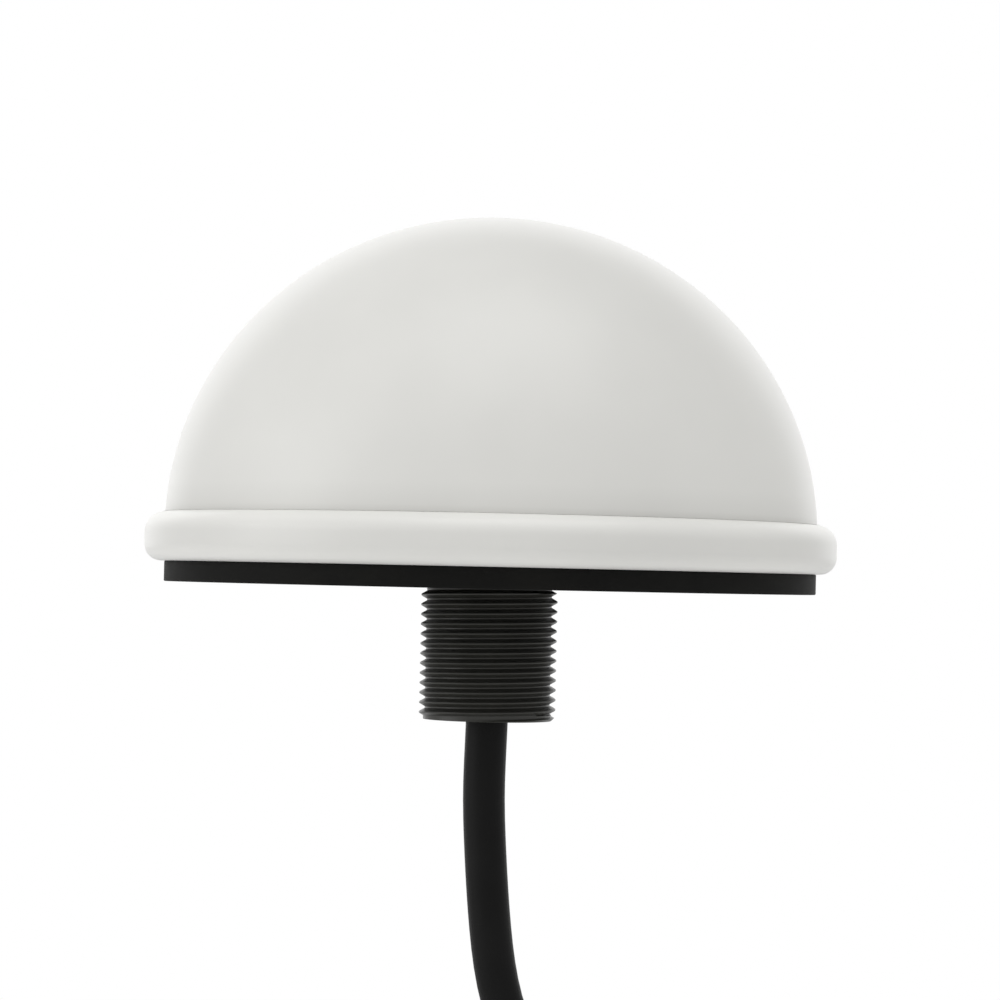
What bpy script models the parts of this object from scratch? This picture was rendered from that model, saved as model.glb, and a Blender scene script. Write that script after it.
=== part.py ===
"""A GNSS receiver: a white domed radome on a black base with a hollow threaded stem.

The receiver and antenna boards stand inside on standoffs. The cable leaves through the stem, hangs down, is
wound into a round coil and ends in a five-pin connector whose coupling ring turns.

The origin is the centre of the gasket's underside, the face that lies on the bracket. +Z points up through
the dome, and -Y is the front.
"""
import math

import bmesh
import bpy
import numpy as np
from mathutils import Matrix, Vector

MM = 0.001
GAP = 0.3 * MM                        # between any two pieces that touch or fit

# Radome
DOME_RADIUS = 60.5 * MM               # half width of the dome's ellipse
DOME_RISE = 58.7 * MM                 # height of the ellipse over its centre
DOME_CENTRE = 10.0 * MM               # height of that centre
DOME_WALL = 3.0 * MM
RIM_OVERHANG = 3.65 * MM              # how far the rim stands out past the dome
RIM_HEIGHT = 8.95 * MM
RIM_SHOULDER = 4.0 * MM
RIM_CORNER = 2.6 * MM
BORE_STEP = 0.3 * MM                  # the straight bore is this much inside the ellipse

# Gasket
GASKET_THICKNESS = 3.6 * MM
GASKET_INSET = 3.75 * MM              # rim edge to gasket edge
GASKET_CLEARANCE = 0.3 * MM           # round the thread

# Base and stem
BASE_THICKNESS = 4.5 * MM
HUB_HEIGHT = 3.0 * MM
STEM_DIAMETER = 25.4 * MM             # over the thread crests
STEM_LENGTH = 24.5 * MM               # below the gasket
STEM_BORE = 16.0 * MM
THREAD_PITCH = 25.4 * MM / 14
THREAD_DEPTH = 0.6 * THREAD_PITCH
THREAD_PHASE = 0.67                   # turns the helix so that a crest lies just under the gasket
END_LAND = 1.2 * MM                   # plain length below the thread
STEM_SEGMENTS = 24

# Seal in the base's edge
SEAL_SECTION = 2.0 * MM

# Screws up into the radome
BASE_SCREWS = 6
SCREW_EDGE = 6.9 * MM                 # base edge to screw axis
SCREW_DIAMETER = 3.0 * MM
SCREW_LENGTH = 11.0 * MM
SCREW_HEAD = 6.4 * MM
SCREW_HEAD_HEIGHT = 2.1 * MM
BOSS_DIAMETER = 8.0 * MM
BOSS_WEB = 2.4 * MM

# Boards and what carries them
BOARD_THICKNESS = 1.6 * MM
BOARD_CLEARANCE = 4.0 * MM            # boss to board edge
BOARD_HOLE = 18.0 * MM                # middle hole of the receiver board
PILLAR_HEIGHT = 6.0 * MM
PILLAR_DIAMETER = 7.0 * MM
STANDOFF_INSET = 6.0 * MM             # board edge to standoff axis
STANDOFF_LENGTH = 14.7 * MM
STANDOFF_WIDTH = 5.0 * MM             # across flats
STUD_DIAMETER = 2.5 * MM
STUD_LENGTH = 7.0 * MM
BOARD_SCREW_LENGTH = 6.0 * MM
BOARD_SCREW_HEAD = 4.6 * MM
SHIELD_HEIGHT = 3.2 * MM
SHIELD_WALL = 0.4 * MM

# Antenna
LOWER_PATCH = 46.0 * MM
UPPER_PATCH = 28.0 * MM
PATCH_THICKNESS = 4.8 * MM
FEED_DIAMETER = 1.0 * MM
UPPER_FEED_AT = (4.5 * MM, 0.0)
LOWER_FEED_AT = (0.0, -17.0 * MM)

# Cable
CABLE_DIAMETER = 7.8 * MM
CABLE_SIDES = 3                       # bevel resolution of the cable's tubes
LEAD_DIAMETER = 1.7 * MM
JACKET_END = -2.0 * MM                # height inside the stem where the jacket is stripped
GROMMET_LENGTH = 12.0 * MM
CLAMP_LENGTH = 4.0 * MM
CLAMP_WALL = 1.2 * MM

# Stored coil: four layers, each a flat spiral of about four turns
COIL_OUTER_TURN = 64.15 * MM          # radius of the outermost turn
COIL_INNER_TURN = 34.85 * MM
COIL_ROWS = 4
COIL_ROW_PITCH = 7.9 * MM
COIL_SLACK = 0.1 * MM                 # round the outermost turns
DROP_REST = -109.7 * MM               # height of the cable where it comes to lie on the coil
TIE_WIDTH = 12.0 * MM
TIE_THICKNESS = 1.0 * MM
TIE_ANGLES = (70, 235)

# Connector: lies along Y with its face towards -Y, measured from its cable end
PLUG_AT = (-76.0 * MM, 68.0 * MM)
RELIEF_LENGTH = 22.0 * MM
RELIEF_BORE_DEPTH = 3.0 * MM
GRIP_LENGTH = 24.0 * MM
GRIP_DIAMETER = 14.0 * MM
RING_DIAMETER = 14.6 * MM
RING_GRIP_LENGTH = 9.2 * MM
RING_RIDGES = 16
NOSE_DIAMETER = 12.0 * MM
NOSE_LENGTH = 6.0 * MM
HUB_DIAMETER = 8.8 * MM
SHROUD_DIAMETER = 9.8 * MM
SHROUD_WALL = 0.8 * MM
SHROUD_DEPTH = 5.5 * MM
PIN_DIAMETER = 1.0 * MM
PIN_LENGTH = 7.0 * MM
PIN_ROOT = 2.4 * MM                   # how deep a pin sits in the hub
PIN_CIRCLE = 5.2 * MM

# Heights that follow from the sizes above
RIM_BOTTOM = GASKET_THICKNESS + GAP
RIM_TOP = RIM_BOTTOM + RIM_HEIGHT
BASE_TOP = RIM_BOTTOM + BASE_THICKNESS
BOARD_BOTTOM = BASE_TOP + PILLAR_HEIGHT + GAP
BOARD_TOP = BOARD_BOTTOM + BOARD_THICKNESS
PARTS_ON_BOARD = BOARD_TOP + GAP
ANTENNA_BOTTOM = PARTS_ON_BOARD + STANDOFF_LENGTH + GAP
ANTENNA_TOP = ANTENNA_BOTTOM + BOARD_THICKNESS
LOWER_PATCH_BOTTOM = ANTENNA_TOP + GAP
UPPER_PATCH_BOTTOM = LOWER_PATCH_BOTTOM + PATCH_THICKNESS + GAP
UPPER_PATCH_TOP = UPPER_PATCH_BOTTOM + PATCH_THICKNESS
SCREW_SEAT = RIM_BOTTOM + SCREW_HEAD_HEIGHT + GAP
BOSS_TOP = SCREW_SEAT + SCREW_LENGTH + 2.4 * MM

# Radii that follow from them
RIM_RADIUS = DOME_RADIUS + RIM_OVERHANG
RADOME_BORE = DOME_RADIUS - DOME_WALL - BORE_STEP
BASE_RADIUS = RADOME_BORE - GAP
SCREW_CIRCLE = BASE_RADIUS - SCREW_EDGE
BOARD_RADIUS = SCREW_CIRCLE - BOSS_DIAMETER / 2 - BOARD_CLEARANCE
STANDOFF_CIRCLE = BOARD_RADIUS - STANDOFF_INSET
THREAD_ROOT = STEM_DIAMETER / 2 - THREAD_DEPTH
STEM_END_RADIUS = THREAD_ROOT + GAP

# Coil and connector heights
COIL_TOP = DROP_REST - CABLE_DIAMETER / 2 - GAP
COIL_HEIGHT = (COIL_ROWS - 1) * COIL_ROW_PITCH + CABLE_DIAMETER
COIL_BOTTOM = COIL_TOP - COIL_HEIGHT
FLOOR = COIL_BOTTOM - GAP - TIE_THICKNESS
PLUG_HEIGHT = FLOOR + RING_DIAMETER / 2

# The cable's route where it isn't coiled
DROP_ROUTE = [(0, 0, -2), (0, 0, -13), (0, 0, -24.5), (-0.25, 0, -38), (0.25, 0, -49), (1.4, 0, -62.5),
              (4.4, 0.2, -78), (10.4, 0.9, -90), (20.2, 3.3, -100.5), (31, 8, -106.8),
              (42.2, 15.8, -109.7)]
TAIL_ROUTE = [(-57.9, 107.9, -141.4), (-66.8, 101.2, -142.4), (-72.8, 91.8, -142),
              (-75.4, 81, -140.3), (-76, 71.5, -139.4), (-76, 65.4, -139.4)]


def finish(name, colour, roughness, metallic=0.0):
    """A plain material."""
    material = bpy.data.materials.new(name)
    material.use_nodes = True
    shader = material.node_tree.nodes["Principled BSDF"]
    shader.inputs["Base Color"].default_value = (*colour, 1.0)
    shader.inputs["Roughness"].default_value = roughness
    shader.inputs["Metallic"].default_value = metallic
    return material


def add_object(name, bm, material):
    """Turns a bmesh into a named object, with smooth round faces and sharp corners."""
    bmesh.ops.remove_doubles(bm, verts=bm.verts, dist=0.001 * MM)
    bmesh.ops.recalc_face_normals(bm, faces=bm.faces)
    mesh = bpy.data.meshes.new(name)
    bm.to_mesh(mesh)
    bm.free()
    mesh.shade_smooth()
    mesh.set_sharp_from_angle(angle=math.radians(35))
    mesh.materials.append(material)
    obj = bpy.data.objects.new(name, mesh)
    bpy.context.scene.collection.objects.link(obj)
    return obj


def spin(bm, profile, segments, closed, at=Matrix.Identity(4)):
    """Turns a profile of (radius, height) points about the Z axis of the frame `at`."""
    verts = [bm.verts.new((radius, 0, height)) for radius, height in profile]
    pairs = list(zip(verts, verts[1:] + verts[:1])) if closed else list(zip(verts, verts[1:]))
    edges = [bm.edges.new(pair) for pair in pairs]
    before = len(bm.verts) - len(verts)
    bmesh.ops.spin(bm, geom=verts + edges, cent=(0, 0, 0), axis=(0, 0, 1), angle=math.tau, steps=segments,
                   use_merge=True)
    bm.verts.ensure_lookup_table()
    bmesh.ops.transform(bm, matrix=at, verts=bm.verts[before:])


def turned(name, profile, segments, material, closed=False):
    """A solid of revolution about Z; a profile that isn't closed starts and ends on the axis."""
    bm = bmesh.new()
    spin(bm, profile, segments, closed)
    return add_object(name, bm, material)


def loft(bm, loops):
    """Joins loops of equally many points, and caps the first and the last."""
    rings = [[bm.verts.new(point) for point in loop] for loop in loops]
    for ring, following in zip(rings, rings[1:]):
        for index in range(len(ring)):
            after = (index + 1) % len(ring)
            bm.faces.new((ring[index], ring[after], following[after], following[index]))
    bm.faces.new(rings[0])
    bm.faces.new(rings[-1])


def rectangle(width, depth, height, centre=(0, 0)):
    """The corners of a level rectangle."""
    x, y = centre
    return [(x + sx * width / 2, y + sy * depth / 2, height)
            for sx, sy in ((-1, -1), (1, -1), (1, 1), (-1, 1))]


def block(name, width, depth, bottom, height, centre, material, bevel=0.0):
    """An upright block standing at a height, with its corners bevelled if asked."""
    bm = bmesh.new()
    loft(bm, [rectangle(width, depth, bottom, centre), rectangle(width, depth, bottom + height, centre)])
    if bevel:
        bmesh.ops.bevel(bm, geom=bm.edges[:], offset=bevel, segments=1, affect="EDGES")
    return add_object(name, bm, material)


def shield(name, side, board_side, lid, wall, centre, material):
    """A square shielding can: a lid at one height with four walls down, or up, to the board."""
    inside = lid - math.copysign(wall, lid - board_side)
    narrow = side - 2 * wall
    bm = bmesh.new()
    loft(bm, [rectangle(narrow, narrow, inside, centre), rectangle(narrow, narrow, board_side, centre),
              rectangle(side, side, board_side, centre), rectangle(side, side, lid, centre)])
    return add_object(name, bm, material)


def apply_boolean(obj, bm, operation):
    """Joins a bmesh to an object, or cuts it away, through a live Boolean."""
    tool = add_object(f"{obj.name}_{operation.lower()}_{len(obj.modifiers)}", bm, obj.data.materials[0])
    tool.hide_render = True
    tool.display_type = "WIRE"
    modifier = obj.modifiers.new(tool.name, "BOOLEAN")
    modifier.operation = operation
    modifier.object = tool


def around(count, radius, first=0.0):
    """Points spaced evenly on a circle, as (angle, x, y)."""
    for index in range(count):
        angle = math.radians(first) + math.tau * index / count
        yield angle, radius * math.cos(angle), radius * math.sin(angle)


def arc(centre, radius, start, end, steps):
    """Points of an arc in a profile, by angles in degrees."""
    for step in range(steps + 1):
        angle = math.radians(start + (end - start) * step / steps)
        yield centre[0] + radius * math.cos(angle), centre[1] + radius * math.sin(angle)


def smooth_curve(points, spacing):
    """Evenly spaced points on the smooth curve through a route's own points."""
    knots = np.array(points, dtype=float)
    count = len(knots)
    chord = np.linalg.norm(np.diff(knots, axis=0), axis=1)
    along = np.concatenate(([0.0], np.cumsum(chord)))
    system = np.eye(count)
    rates = np.zeros_like(knots)
    for row in range(1, count - 1):
        before, after = chord[row - 1], chord[row]
        system[row, row - 1:row + 2] = before, 2 * (before + after), after
        rates[row] = 6 * ((knots[row + 1] - knots[row]) / after - (knots[row] - knots[row - 1]) / before)
    bends = np.linalg.solve(system, rates)
    pieces = max(2, round(along[-1] / spacing))
    curve = []
    for distance in np.linspace(0, along[-1], pieces + 1):
        row = min(int(np.searchsorted(along, distance, side="right")) - 1, count - 2)
        span = chord[row]
        right = (distance - along[row]) / span
        left = 1 - right
        sway = ((left ** 3 - left) * bends[row] + (right ** 3 - right) * bends[row + 1]) * span ** 2 / 6
        curve.append(left * knots[row] + right * knots[row + 1] + sway)
    return curve


def tube(name, route, diameter, resolution, material, spacing=2.0):
    """A round cable or wire along a route given in millimetres."""
    data = bpy.data.curves.new(name, "CURVE")
    data.dimensions = "3D"
    data.bevel_depth = diameter / 2
    data.bevel_resolution = resolution
    data.use_fill_caps = True
    spline = data.splines.new("POLY")
    points = smooth_curve([Vector(point) * MM for point in route], spacing * diameter)
    spline.points.add(len(points) - 1)
    for slot, point in zip(spline.points, points):
        slot.co = (*point, 1.0)
    data.materials.append(material)
    obj = bpy.data.objects.new(name, data)
    bpy.context.scene.collection.objects.link(obj)
    return obj


def dome_point(angle, radius, rise):
    """A point of an ellipse centred on the dome's axis, by its angle in degrees above the horizontal."""
    turn = math.radians(angle)
    return radius * math.cos(turn), DOME_CENTRE + rise * math.sin(turn)


def make_radome():
    """The white shell: dome, rounded rim, and six screw bosses on the inside."""
    white = finish("white_radome", (0.78, 0.78, 0.75), 0.45)
    crease = math.degrees(math.asin((RIM_TOP - DOME_CENTRE) / DOME_RISE))
    inner_radius, inner_rise = DOME_RADIUS - DOME_WALL, DOME_RISE - DOME_WALL
    bore_angle = math.degrees(math.acos(RADOME_BORE / inner_radius))
    steps = 9
    corner = (RIM_RADIUS - RIM_CORNER, RIM_BOTTOM + RIM_CORNER)
    shoulder = (RIM_RADIUS - RIM_SHOULDER, RIM_TOP - RIM_SHOULDER)
    profile = [dome_point(90 + (crease - 90) * step / steps, DOME_RADIUS, DOME_RISE) for step in range(steps)]
    profile[0] = (0, DOME_CENTRE + DOME_RISE)
    profile.append(dome_point(crease, DOME_RADIUS, DOME_RISE))
    profile += arc(shoulder, RIM_SHOULDER, 90, 0, 3)
    profile += arc(corner, RIM_CORNER, 0, -90, 2)
    profile.append((RADOME_BORE, RIM_BOTTOM))
    profile += [dome_point(bore_angle + (90 - bore_angle) * step / steps, inner_radius, inner_rise)
                for step in range(steps)]
    profile.append((0, DOME_CENTRE + inner_rise))
    radome = turned("radome", profile, 40, white)

    # The bosses stand on the base and a web ties each one to the wall.
    bosses = bmesh.new()
    pilots = bmesh.new()
    web = math.degrees(math.asin(BOSS_WEB / BOSS_DIAMETER))
    reach = RADOME_BORE + DOME_WALL / 3 - SCREW_CIRCLE
    for angle, x, y in around(BASE_SCREWS, SCREW_CIRCLE, 30):
        outline = list(arc((0, 0), BOSS_DIAMETER / 2, web, 360 - web, 8))
        outline += [(reach, -BOSS_WEB / 2), (reach, BOSS_WEB / 2)]
        place = Matrix.Translation((x, y, 0)) @ Matrix.Rotation(angle, 4, "Z")
        loft(bosses, [[place @ Vector((*point, height)) for point in outline]
                      for height in (BASE_TOP + GAP, BOSS_TOP)])
        pilot = SCREW_DIAMETER / 2 + GAP
        bottom, top = BASE_TOP - GAP, SCREW_SEAT + SCREW_LENGTH + 2 * GAP
        spin(pilots, [(0, bottom), (pilot, bottom), (pilot, top), (0, top)], 12, False,
             Matrix.Translation((x, y, 0)))
    apply_boolean(radome, bosses, "UNION")
    apply_boolean(radome, pilots, "DIFFERENCE")


def make_gasket():
    """The flat rubber ring that seals the receiver to what it stands on, and covers the screws."""
    outer = RIM_RADIUS - GASKET_INSET
    inner = STEM_DIAMETER / 2 + GASKET_CLEARANCE
    turned("mounting_gasket", [(inner, GASKET_THICKNESS), (outer, GASKET_THICKNESS), (outer, 0), (inner, 0)],
           40, finish("gasket_rubber", (0.018, 0.018, 0.017), 0.7), closed=True)


def thread_surface(bm):
    """The stem's helical outside, from the gasket down to the chamfered end.

    The rows follow the helix, so the last column meets the first one a whole pitch lower. Rows past either
    end are drawn back onto it, where they merge.
    """
    top, bottom = -GAP, -STEM_LENGTH
    outline = [(1 / 16, 0), (7 / 16, 1), (9 / 16, 1), (15 / 16, 0)]
    turns = math.ceil((top - bottom) / THREAD_PITCH) + 3
    columns = []
    for column in range(STEM_SEGMENTS):
        share = column / STEM_SEGMENTS
        turn = math.tau * share
        verts = []
        for row in range(turns * len(outline)):
            phase, height = outline[row % len(outline)]
            z = bottom + (row // len(outline) - 2 + phase + share + THREAD_PHASE) * THREAD_PITCH
            radius = THREAD_ROOT + THREAD_DEPTH * height
            if z - bottom < END_LAND:
                radius = max(radius, STEM_END_RADIUS)
            chamfer = STEM_END_RADIUS + max(z - bottom, 0)
            relief = THREAD_ROOT + 2 * max(top - z, 0)
            radius = min(radius, chamfer, relief)
            z = min(max(z, bottom), top)
            verts.append(bm.verts.new((radius * math.cos(turn), radius * math.sin(turn), z)))
        columns.append(verts)
    for column in range(STEM_SEGMENTS):
        left = columns[column]
        wraps = column == STEM_SEGMENTS - 1
        right = columns[0][len(outline):] if wraps else columns[column + 1]
        for row in range(min(len(left), len(right)) - 1):
            bm.faces.new((left[row], right[row], right[row + 1], left[row + 1]))


def make_base():
    """The black plate that closes the radome, with its seal groove, board pillars and threaded stem."""
    nylon = finish("glass_filled_nylon", (0.02, 0.02, 0.019), 0.5)
    bore = STEM_BORE / 2
    lead_in = 0.8 * MM
    middle = RIM_BOTTOM + BASE_THICKNESS / 2
    half_groove = SEAL_SECTION / 2 + GAP
    groove_floor = BASE_RADIUS - SEAL_SECTION - GAP
    profile = [(THREAD_ROOT, -GAP), (THREAD_ROOT, RIM_BOTTOM), (BASE_RADIUS, RIM_BOTTOM),
               (BASE_RADIUS, middle - half_groove), (groove_floor, middle - half_groove),
               (groove_floor, middle + half_groove), (BASE_RADIUS, middle + half_groove),
               (BASE_RADIUS, BASE_TOP), (STEM_DIAMETER / 2, BASE_TOP), (THREAD_ROOT, BASE_TOP + HUB_HEIGHT),
               (bore, BASE_TOP + HUB_HEIGHT), (bore, lead_in - STEM_LENGTH),
               (bore + lead_in, -STEM_LENGTH), (STEM_END_RADIUS, -STEM_LENGTH)]
    bm = bmesh.new()
    spin(bm, profile, STEM_SEGMENTS, False)
    thread_surface(bm)
    base = add_object("threaded_base", bm, nylon)

    pillars = bmesh.new()
    blind_holes = bmesh.new()
    hole = STUD_DIAMETER / 2 + GAP
    hole_floor = PARTS_ON_BOARD - STUD_LENGTH - GAP
    for angle, x, y in around(4, STANDOFF_CIRCLE):
        place = Matrix.Translation((x, y, 0))
        pillar = PILLAR_DIAMETER / 2
        bottom, top = BASE_TOP - GAP, BASE_TOP + PILLAR_HEIGHT
        spin(pillars, [(0, bottom), (pillar, bottom), (pillar, top), (0, top)], 16, False, place)
        spin(blind_holes, [(0, hole_floor), (hole, hole_floor), (hole, top + GAP), (0, top + GAP)], 12, False,
             place)
    apply_boolean(base, pillars, "UNION")
    apply_boolean(base, blind_holes, "DIFFERENCE")

    screw_holes = bmesh.new()
    shank, head = SCREW_DIAMETER / 2 + GAP, SCREW_HEAD / 2 + GAP
    low, high = RIM_BOTTOM - GAP, BASE_TOP + GAP
    for angle, x, y in around(BASE_SCREWS, SCREW_CIRCLE, 30):
        spin(screw_holes, [(0, low), (head, low), (head, SCREW_SEAT), (shank, SCREW_SEAT), (shank, high),
                           (0, high)], 16, False, Matrix.Translation((x, y, 0)))
    apply_boolean(base, screw_holes, "DIFFERENCE")


def make_seal():
    """The O-ring in the base's edge."""
    section = SEAL_SECTION / 2
    centre = (BASE_RADIUS - section, RIM_BOTTOM + BASE_THICKNESS / 2)
    profile = list(arc(centre, section, 0, 360, 6))[:-1]
    turned("radome_seal", profile, 32, finish("seal_rubber", (0.03, 0.03, 0.03), 0.5), closed=True)


def screw(name, x, y, seat, shank_end, diameter, head, head_height, material):
    """A pan-head screw whose head sits at `seat` and whose shank runs to `shank_end`."""
    up = 1 if shank_end < seat else -1
    shank, cap = diameter / 2, head / 2
    crown = seat + up * head_height
    recess = head_height * 0.45
    profile = [(0, shank_end), (shank * 0.6, shank_end), (shank, shank_end + up * shank), (shank, seat),
               (cap, seat), (cap * 0.8, crown), (cap * 0.3, crown), (0, crown - up * recess)]
    piece = turned(name, profile, 10, material)
    piece.location = (x, y, 0)


def make_base_screws():
    """Six screws up through the base into the radome; their heads are under the gasket."""
    steel = finish("screw_steel", (0.62, 0.61, 0.59), 0.35, 1.0)
    for number, (angle, x, y) in enumerate(around(BASE_SCREWS, SCREW_CIRCLE, 30), 1):
        screw(f"base_screw_{number}", x, y, SCREW_SEAT - GAP, SCREW_SEAT + SCREW_LENGTH, SCREW_DIAMETER,
              SCREW_HEAD, SCREW_HEAD_HEIGHT - GAP, steel)


def board(name, bottom, holes, material):
    """A round circuit board with round holes given as (x, y, radius)."""
    top = bottom + BOARD_THICKNESS
    plate = turned(name, [(0, bottom), (BOARD_RADIUS, bottom), (BOARD_RADIUS, top), (0, top)], 40, material)
    drills = bmesh.new()
    for x, y, radius in holes:
        spin(drills, [(0, bottom - GAP), (radius, bottom - GAP), (radius, top + GAP), (0, top + GAP)], 12,
             False, Matrix.Translation((x, y, 0)))
    apply_boolean(plate, drills, "DIFFERENCE")


def make_boards():
    """The receiver board on the base's pillars and the antenna board on the standoffs."""
    stud_hole = STUD_DIAMETER / 2 + GAP
    feed_hole = FEED_DIAMETER / 2 + GAP
    corners = [(x, y, stud_hole) for angle, x, y in around(4, STANDOFF_CIRCLE)]
    laminate = finish("green_laminate", (0.02, 0.16, 0.07), 0.4)
    board("receiver_board", BOARD_BOTTOM, corners + [(0, 0, BOARD_HOLE / 2)], laminate)
    feeds = [(*UPPER_FEED_AT, feed_hole), (*LOWER_FEED_AT, feed_hole)]
    board("antenna_board", ANTENNA_BOTTOM, corners + feeds, laminate)


def make_standoffs():
    """Hexagonal brass standoffs, studded below, and the screws that hold the antenna board to them."""
    brass = finish("brass", (0.66, 0.5, 0.24), 0.3, 1.0)
    steel = finish("board_screw_steel", (0.62, 0.61, 0.59), 0.35, 1.0)
    corner = STANDOFF_WIDTH / 2 / math.cos(math.pi / 6)
    stud, hole = STUD_DIAMETER / 2, STUD_DIAMETER / 2 + GAP
    top = PARTS_ON_BOARD + STANDOFF_LENGTH
    stud_end = PARTS_ON_BOARD - STUD_LENGTH
    depth = BOARD_SCREW_LENGTH - BOARD_THICKNESS
    profile = [(0, stud_end), (stud, stud_end), (stud, PARTS_ON_BOARD), (corner, PARTS_ON_BOARD),
               (corner, top), (hole, top), (hole, top - depth), (0, top - depth)]
    for number, (angle, x, y) in enumerate(around(4, STANDOFF_CIRCLE), 1):
        bm = bmesh.new()
        spin(bm, profile, 12, False)
        for vert in bm.verts:
            wide = math.hypot(vert.co.x, vert.co.y) > (corner + hole) / 2
            if wide and round(math.degrees(math.atan2(vert.co.y, vert.co.x)) / 30) % 2:
                vert.co.x *= math.cos(math.pi / 6)
                vert.co.y *= math.cos(math.pi / 6)
        add_object(f"standoff_{number}", bm, brass).location = (x, y, 0)
        seat = ANTENNA_TOP + GAP
        screw(f"board_screw_{number}", x, y, seat, seat - BOARD_SCREW_LENGTH + GAP, STUD_DIAMETER,
              BOARD_SCREW_HEAD, 1.7 * MM, steel)


def patch(name, side, bottom, feeds, material):
    """A square ceramic patch with clipped corners and its feed holes."""
    clip = side * 0.06
    half = side / 2
    outline = [(half - clip, -half), (half, clip - half), (half, half - clip), (half - clip, half),
               (clip - half, half), (-half, half - clip), (-half, clip - half), (clip - half, -half)]
    bm = bmesh.new()
    loft(bm, [[(x, y, height) for x, y in outline] for height in (bottom, bottom + PATCH_THICKNESS)])
    piece = add_object(name, bm, material)
    drills = bmesh.new()
    hole = FEED_DIAMETER / 2 + GAP
    low, high = bottom - GAP, bottom + PATCH_THICKNESS + GAP
    for x, y in feeds:
        spin(drills, [(0, low), (hole, low), (hole, high), (0, high)], 12, False,
             Matrix.Translation((x, y, 0)))
    apply_boolean(piece, drills, "DIFFERENCE")


def make_antenna():
    """Two stacked ceramic patches, their feed pins, and the amplifier's shield under the board."""
    ceramic = finish("ceramic", (0.72, 0.66, 0.55), 0.5)
    patch("lower_patch", LOWER_PATCH, LOWER_PATCH_BOTTOM, [UPPER_FEED_AT, LOWER_FEED_AT], ceramic)
    patch("upper_patch", UPPER_PATCH, UPPER_PATCH_BOTTOM, [UPPER_FEED_AT], ceramic)
    tin = finish("feed_pin_tin", (0.75, 0.74, 0.7), 0.3, 1.0)
    head, head_height = 1.1 * MM, 0.4 * MM
    pin_end = ANTENNA_BOTTOM - 0.7 * MM
    for name, (x, y), seat in (("feed_pin_lower", LOWER_FEED_AT, UPPER_PATCH_BOTTOM),
                               ("feed_pin_upper", UPPER_FEED_AT, UPPER_PATCH_TOP + GAP)):
        pin = FEED_DIAMETER / 2
        profile = [(0, pin_end), (pin, pin_end), (pin, seat), (head, seat), (head, seat + head_height),
                   (0, seat + head_height)]
        turned(name, profile, 10, tin).location = (x, y, 0)
    open_side = ANTENNA_BOTTOM - GAP
    shield("lna_shield", 30 * MM, open_side, open_side - SHIELD_HEIGHT, SHIELD_WALL, (0, -4 * MM),
           finish("lna_shield_tin", (0.7, 0.7, 0.68), 0.3, 1.0))


def make_board_parts():
    """What stands on the receiver board."""
    tin = finish("shield_tin", (0.7, 0.7, 0.68), 0.3, 1.0)
    black = finish("chip_epoxy", (0.03, 0.03, 0.03), 0.45)
    ferrite = finish("ferrite", (0.09, 0.09, 0.09), 0.6)
    can = finish("capacitor_can", (0.6, 0.6, 0.62), 0.3, 1.0)
    cell = finish("cell_steel", (0.68, 0.68, 0.66), 0.25, 1.0)
    holder = finish("holder_nylon", (0.75, 0.73, 0.66), 0.5)
    stand = PARTS_ON_BOARD
    shield("receiver_shield", 22 * MM, stand, stand + SHIELD_HEIGHT, SHIELD_WALL, (18 * MM, 18 * MM), tin)
    block("processor_chip", 12 * MM, 12 * MM, stand, 1.4 * MM, (-17 * MM, 20 * MM), black, 0.15 * MM)
    block("power_inductor", 8 * MM, 8 * MM, stand, 4 * MM, (15 * MM, -27 * MM), ferrite, 0.5 * MM)

    radius, height, crimp = 4 * MM, 10 * MM, 0.35 * MM
    turned("smoothing_capacitor",
           [(0, stand), (radius, stand), (radius, stand + 1.6 * MM), (radius - crimp, stand + 2 * MM),
            (radius, stand + 2.4 * MM), (radius, stand + height - crimp), (radius - crimp, stand + height),
            (0, stand + height)], 20, can).location = (25 * MM, -14 * MM, 0)

    cell_radius, cell_height, cup_floor, cup_wall = 6.25 * MM, 2.5 * MM, 0.8 * MM, 1.1 * MM
    cup = cell_radius + GAP
    rim = stand + cup_floor + GAP + cell_height * 0.7
    bottom = stand + cup_floor
    at = (-21 * MM, -21 * MM, 0)
    turned("cell_holder", [(0, stand), (cup + cup_wall, stand), (cup + cup_wall, rim), (cup, rim),
                           (cup, bottom), (0, bottom)], 24, holder).location = at
    seat = bottom + GAP
    turned("backup_cell", [(0, seat), (cell_radius - 0.3 * MM, seat), (cell_radius, seat + 0.5 * MM),
                           (cell_radius, seat + cell_height), (0, seat + cell_height)], 24,
           cell).location = at


def across(width, height, y, middle):
    """The corners of an upright rectangle that faces along Y."""
    return [(sx * width / 2, y, middle + sz * height / 2) for sx, sz in ((-1, -1), (1, -1), (1, 1), (-1, 1))]


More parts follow.
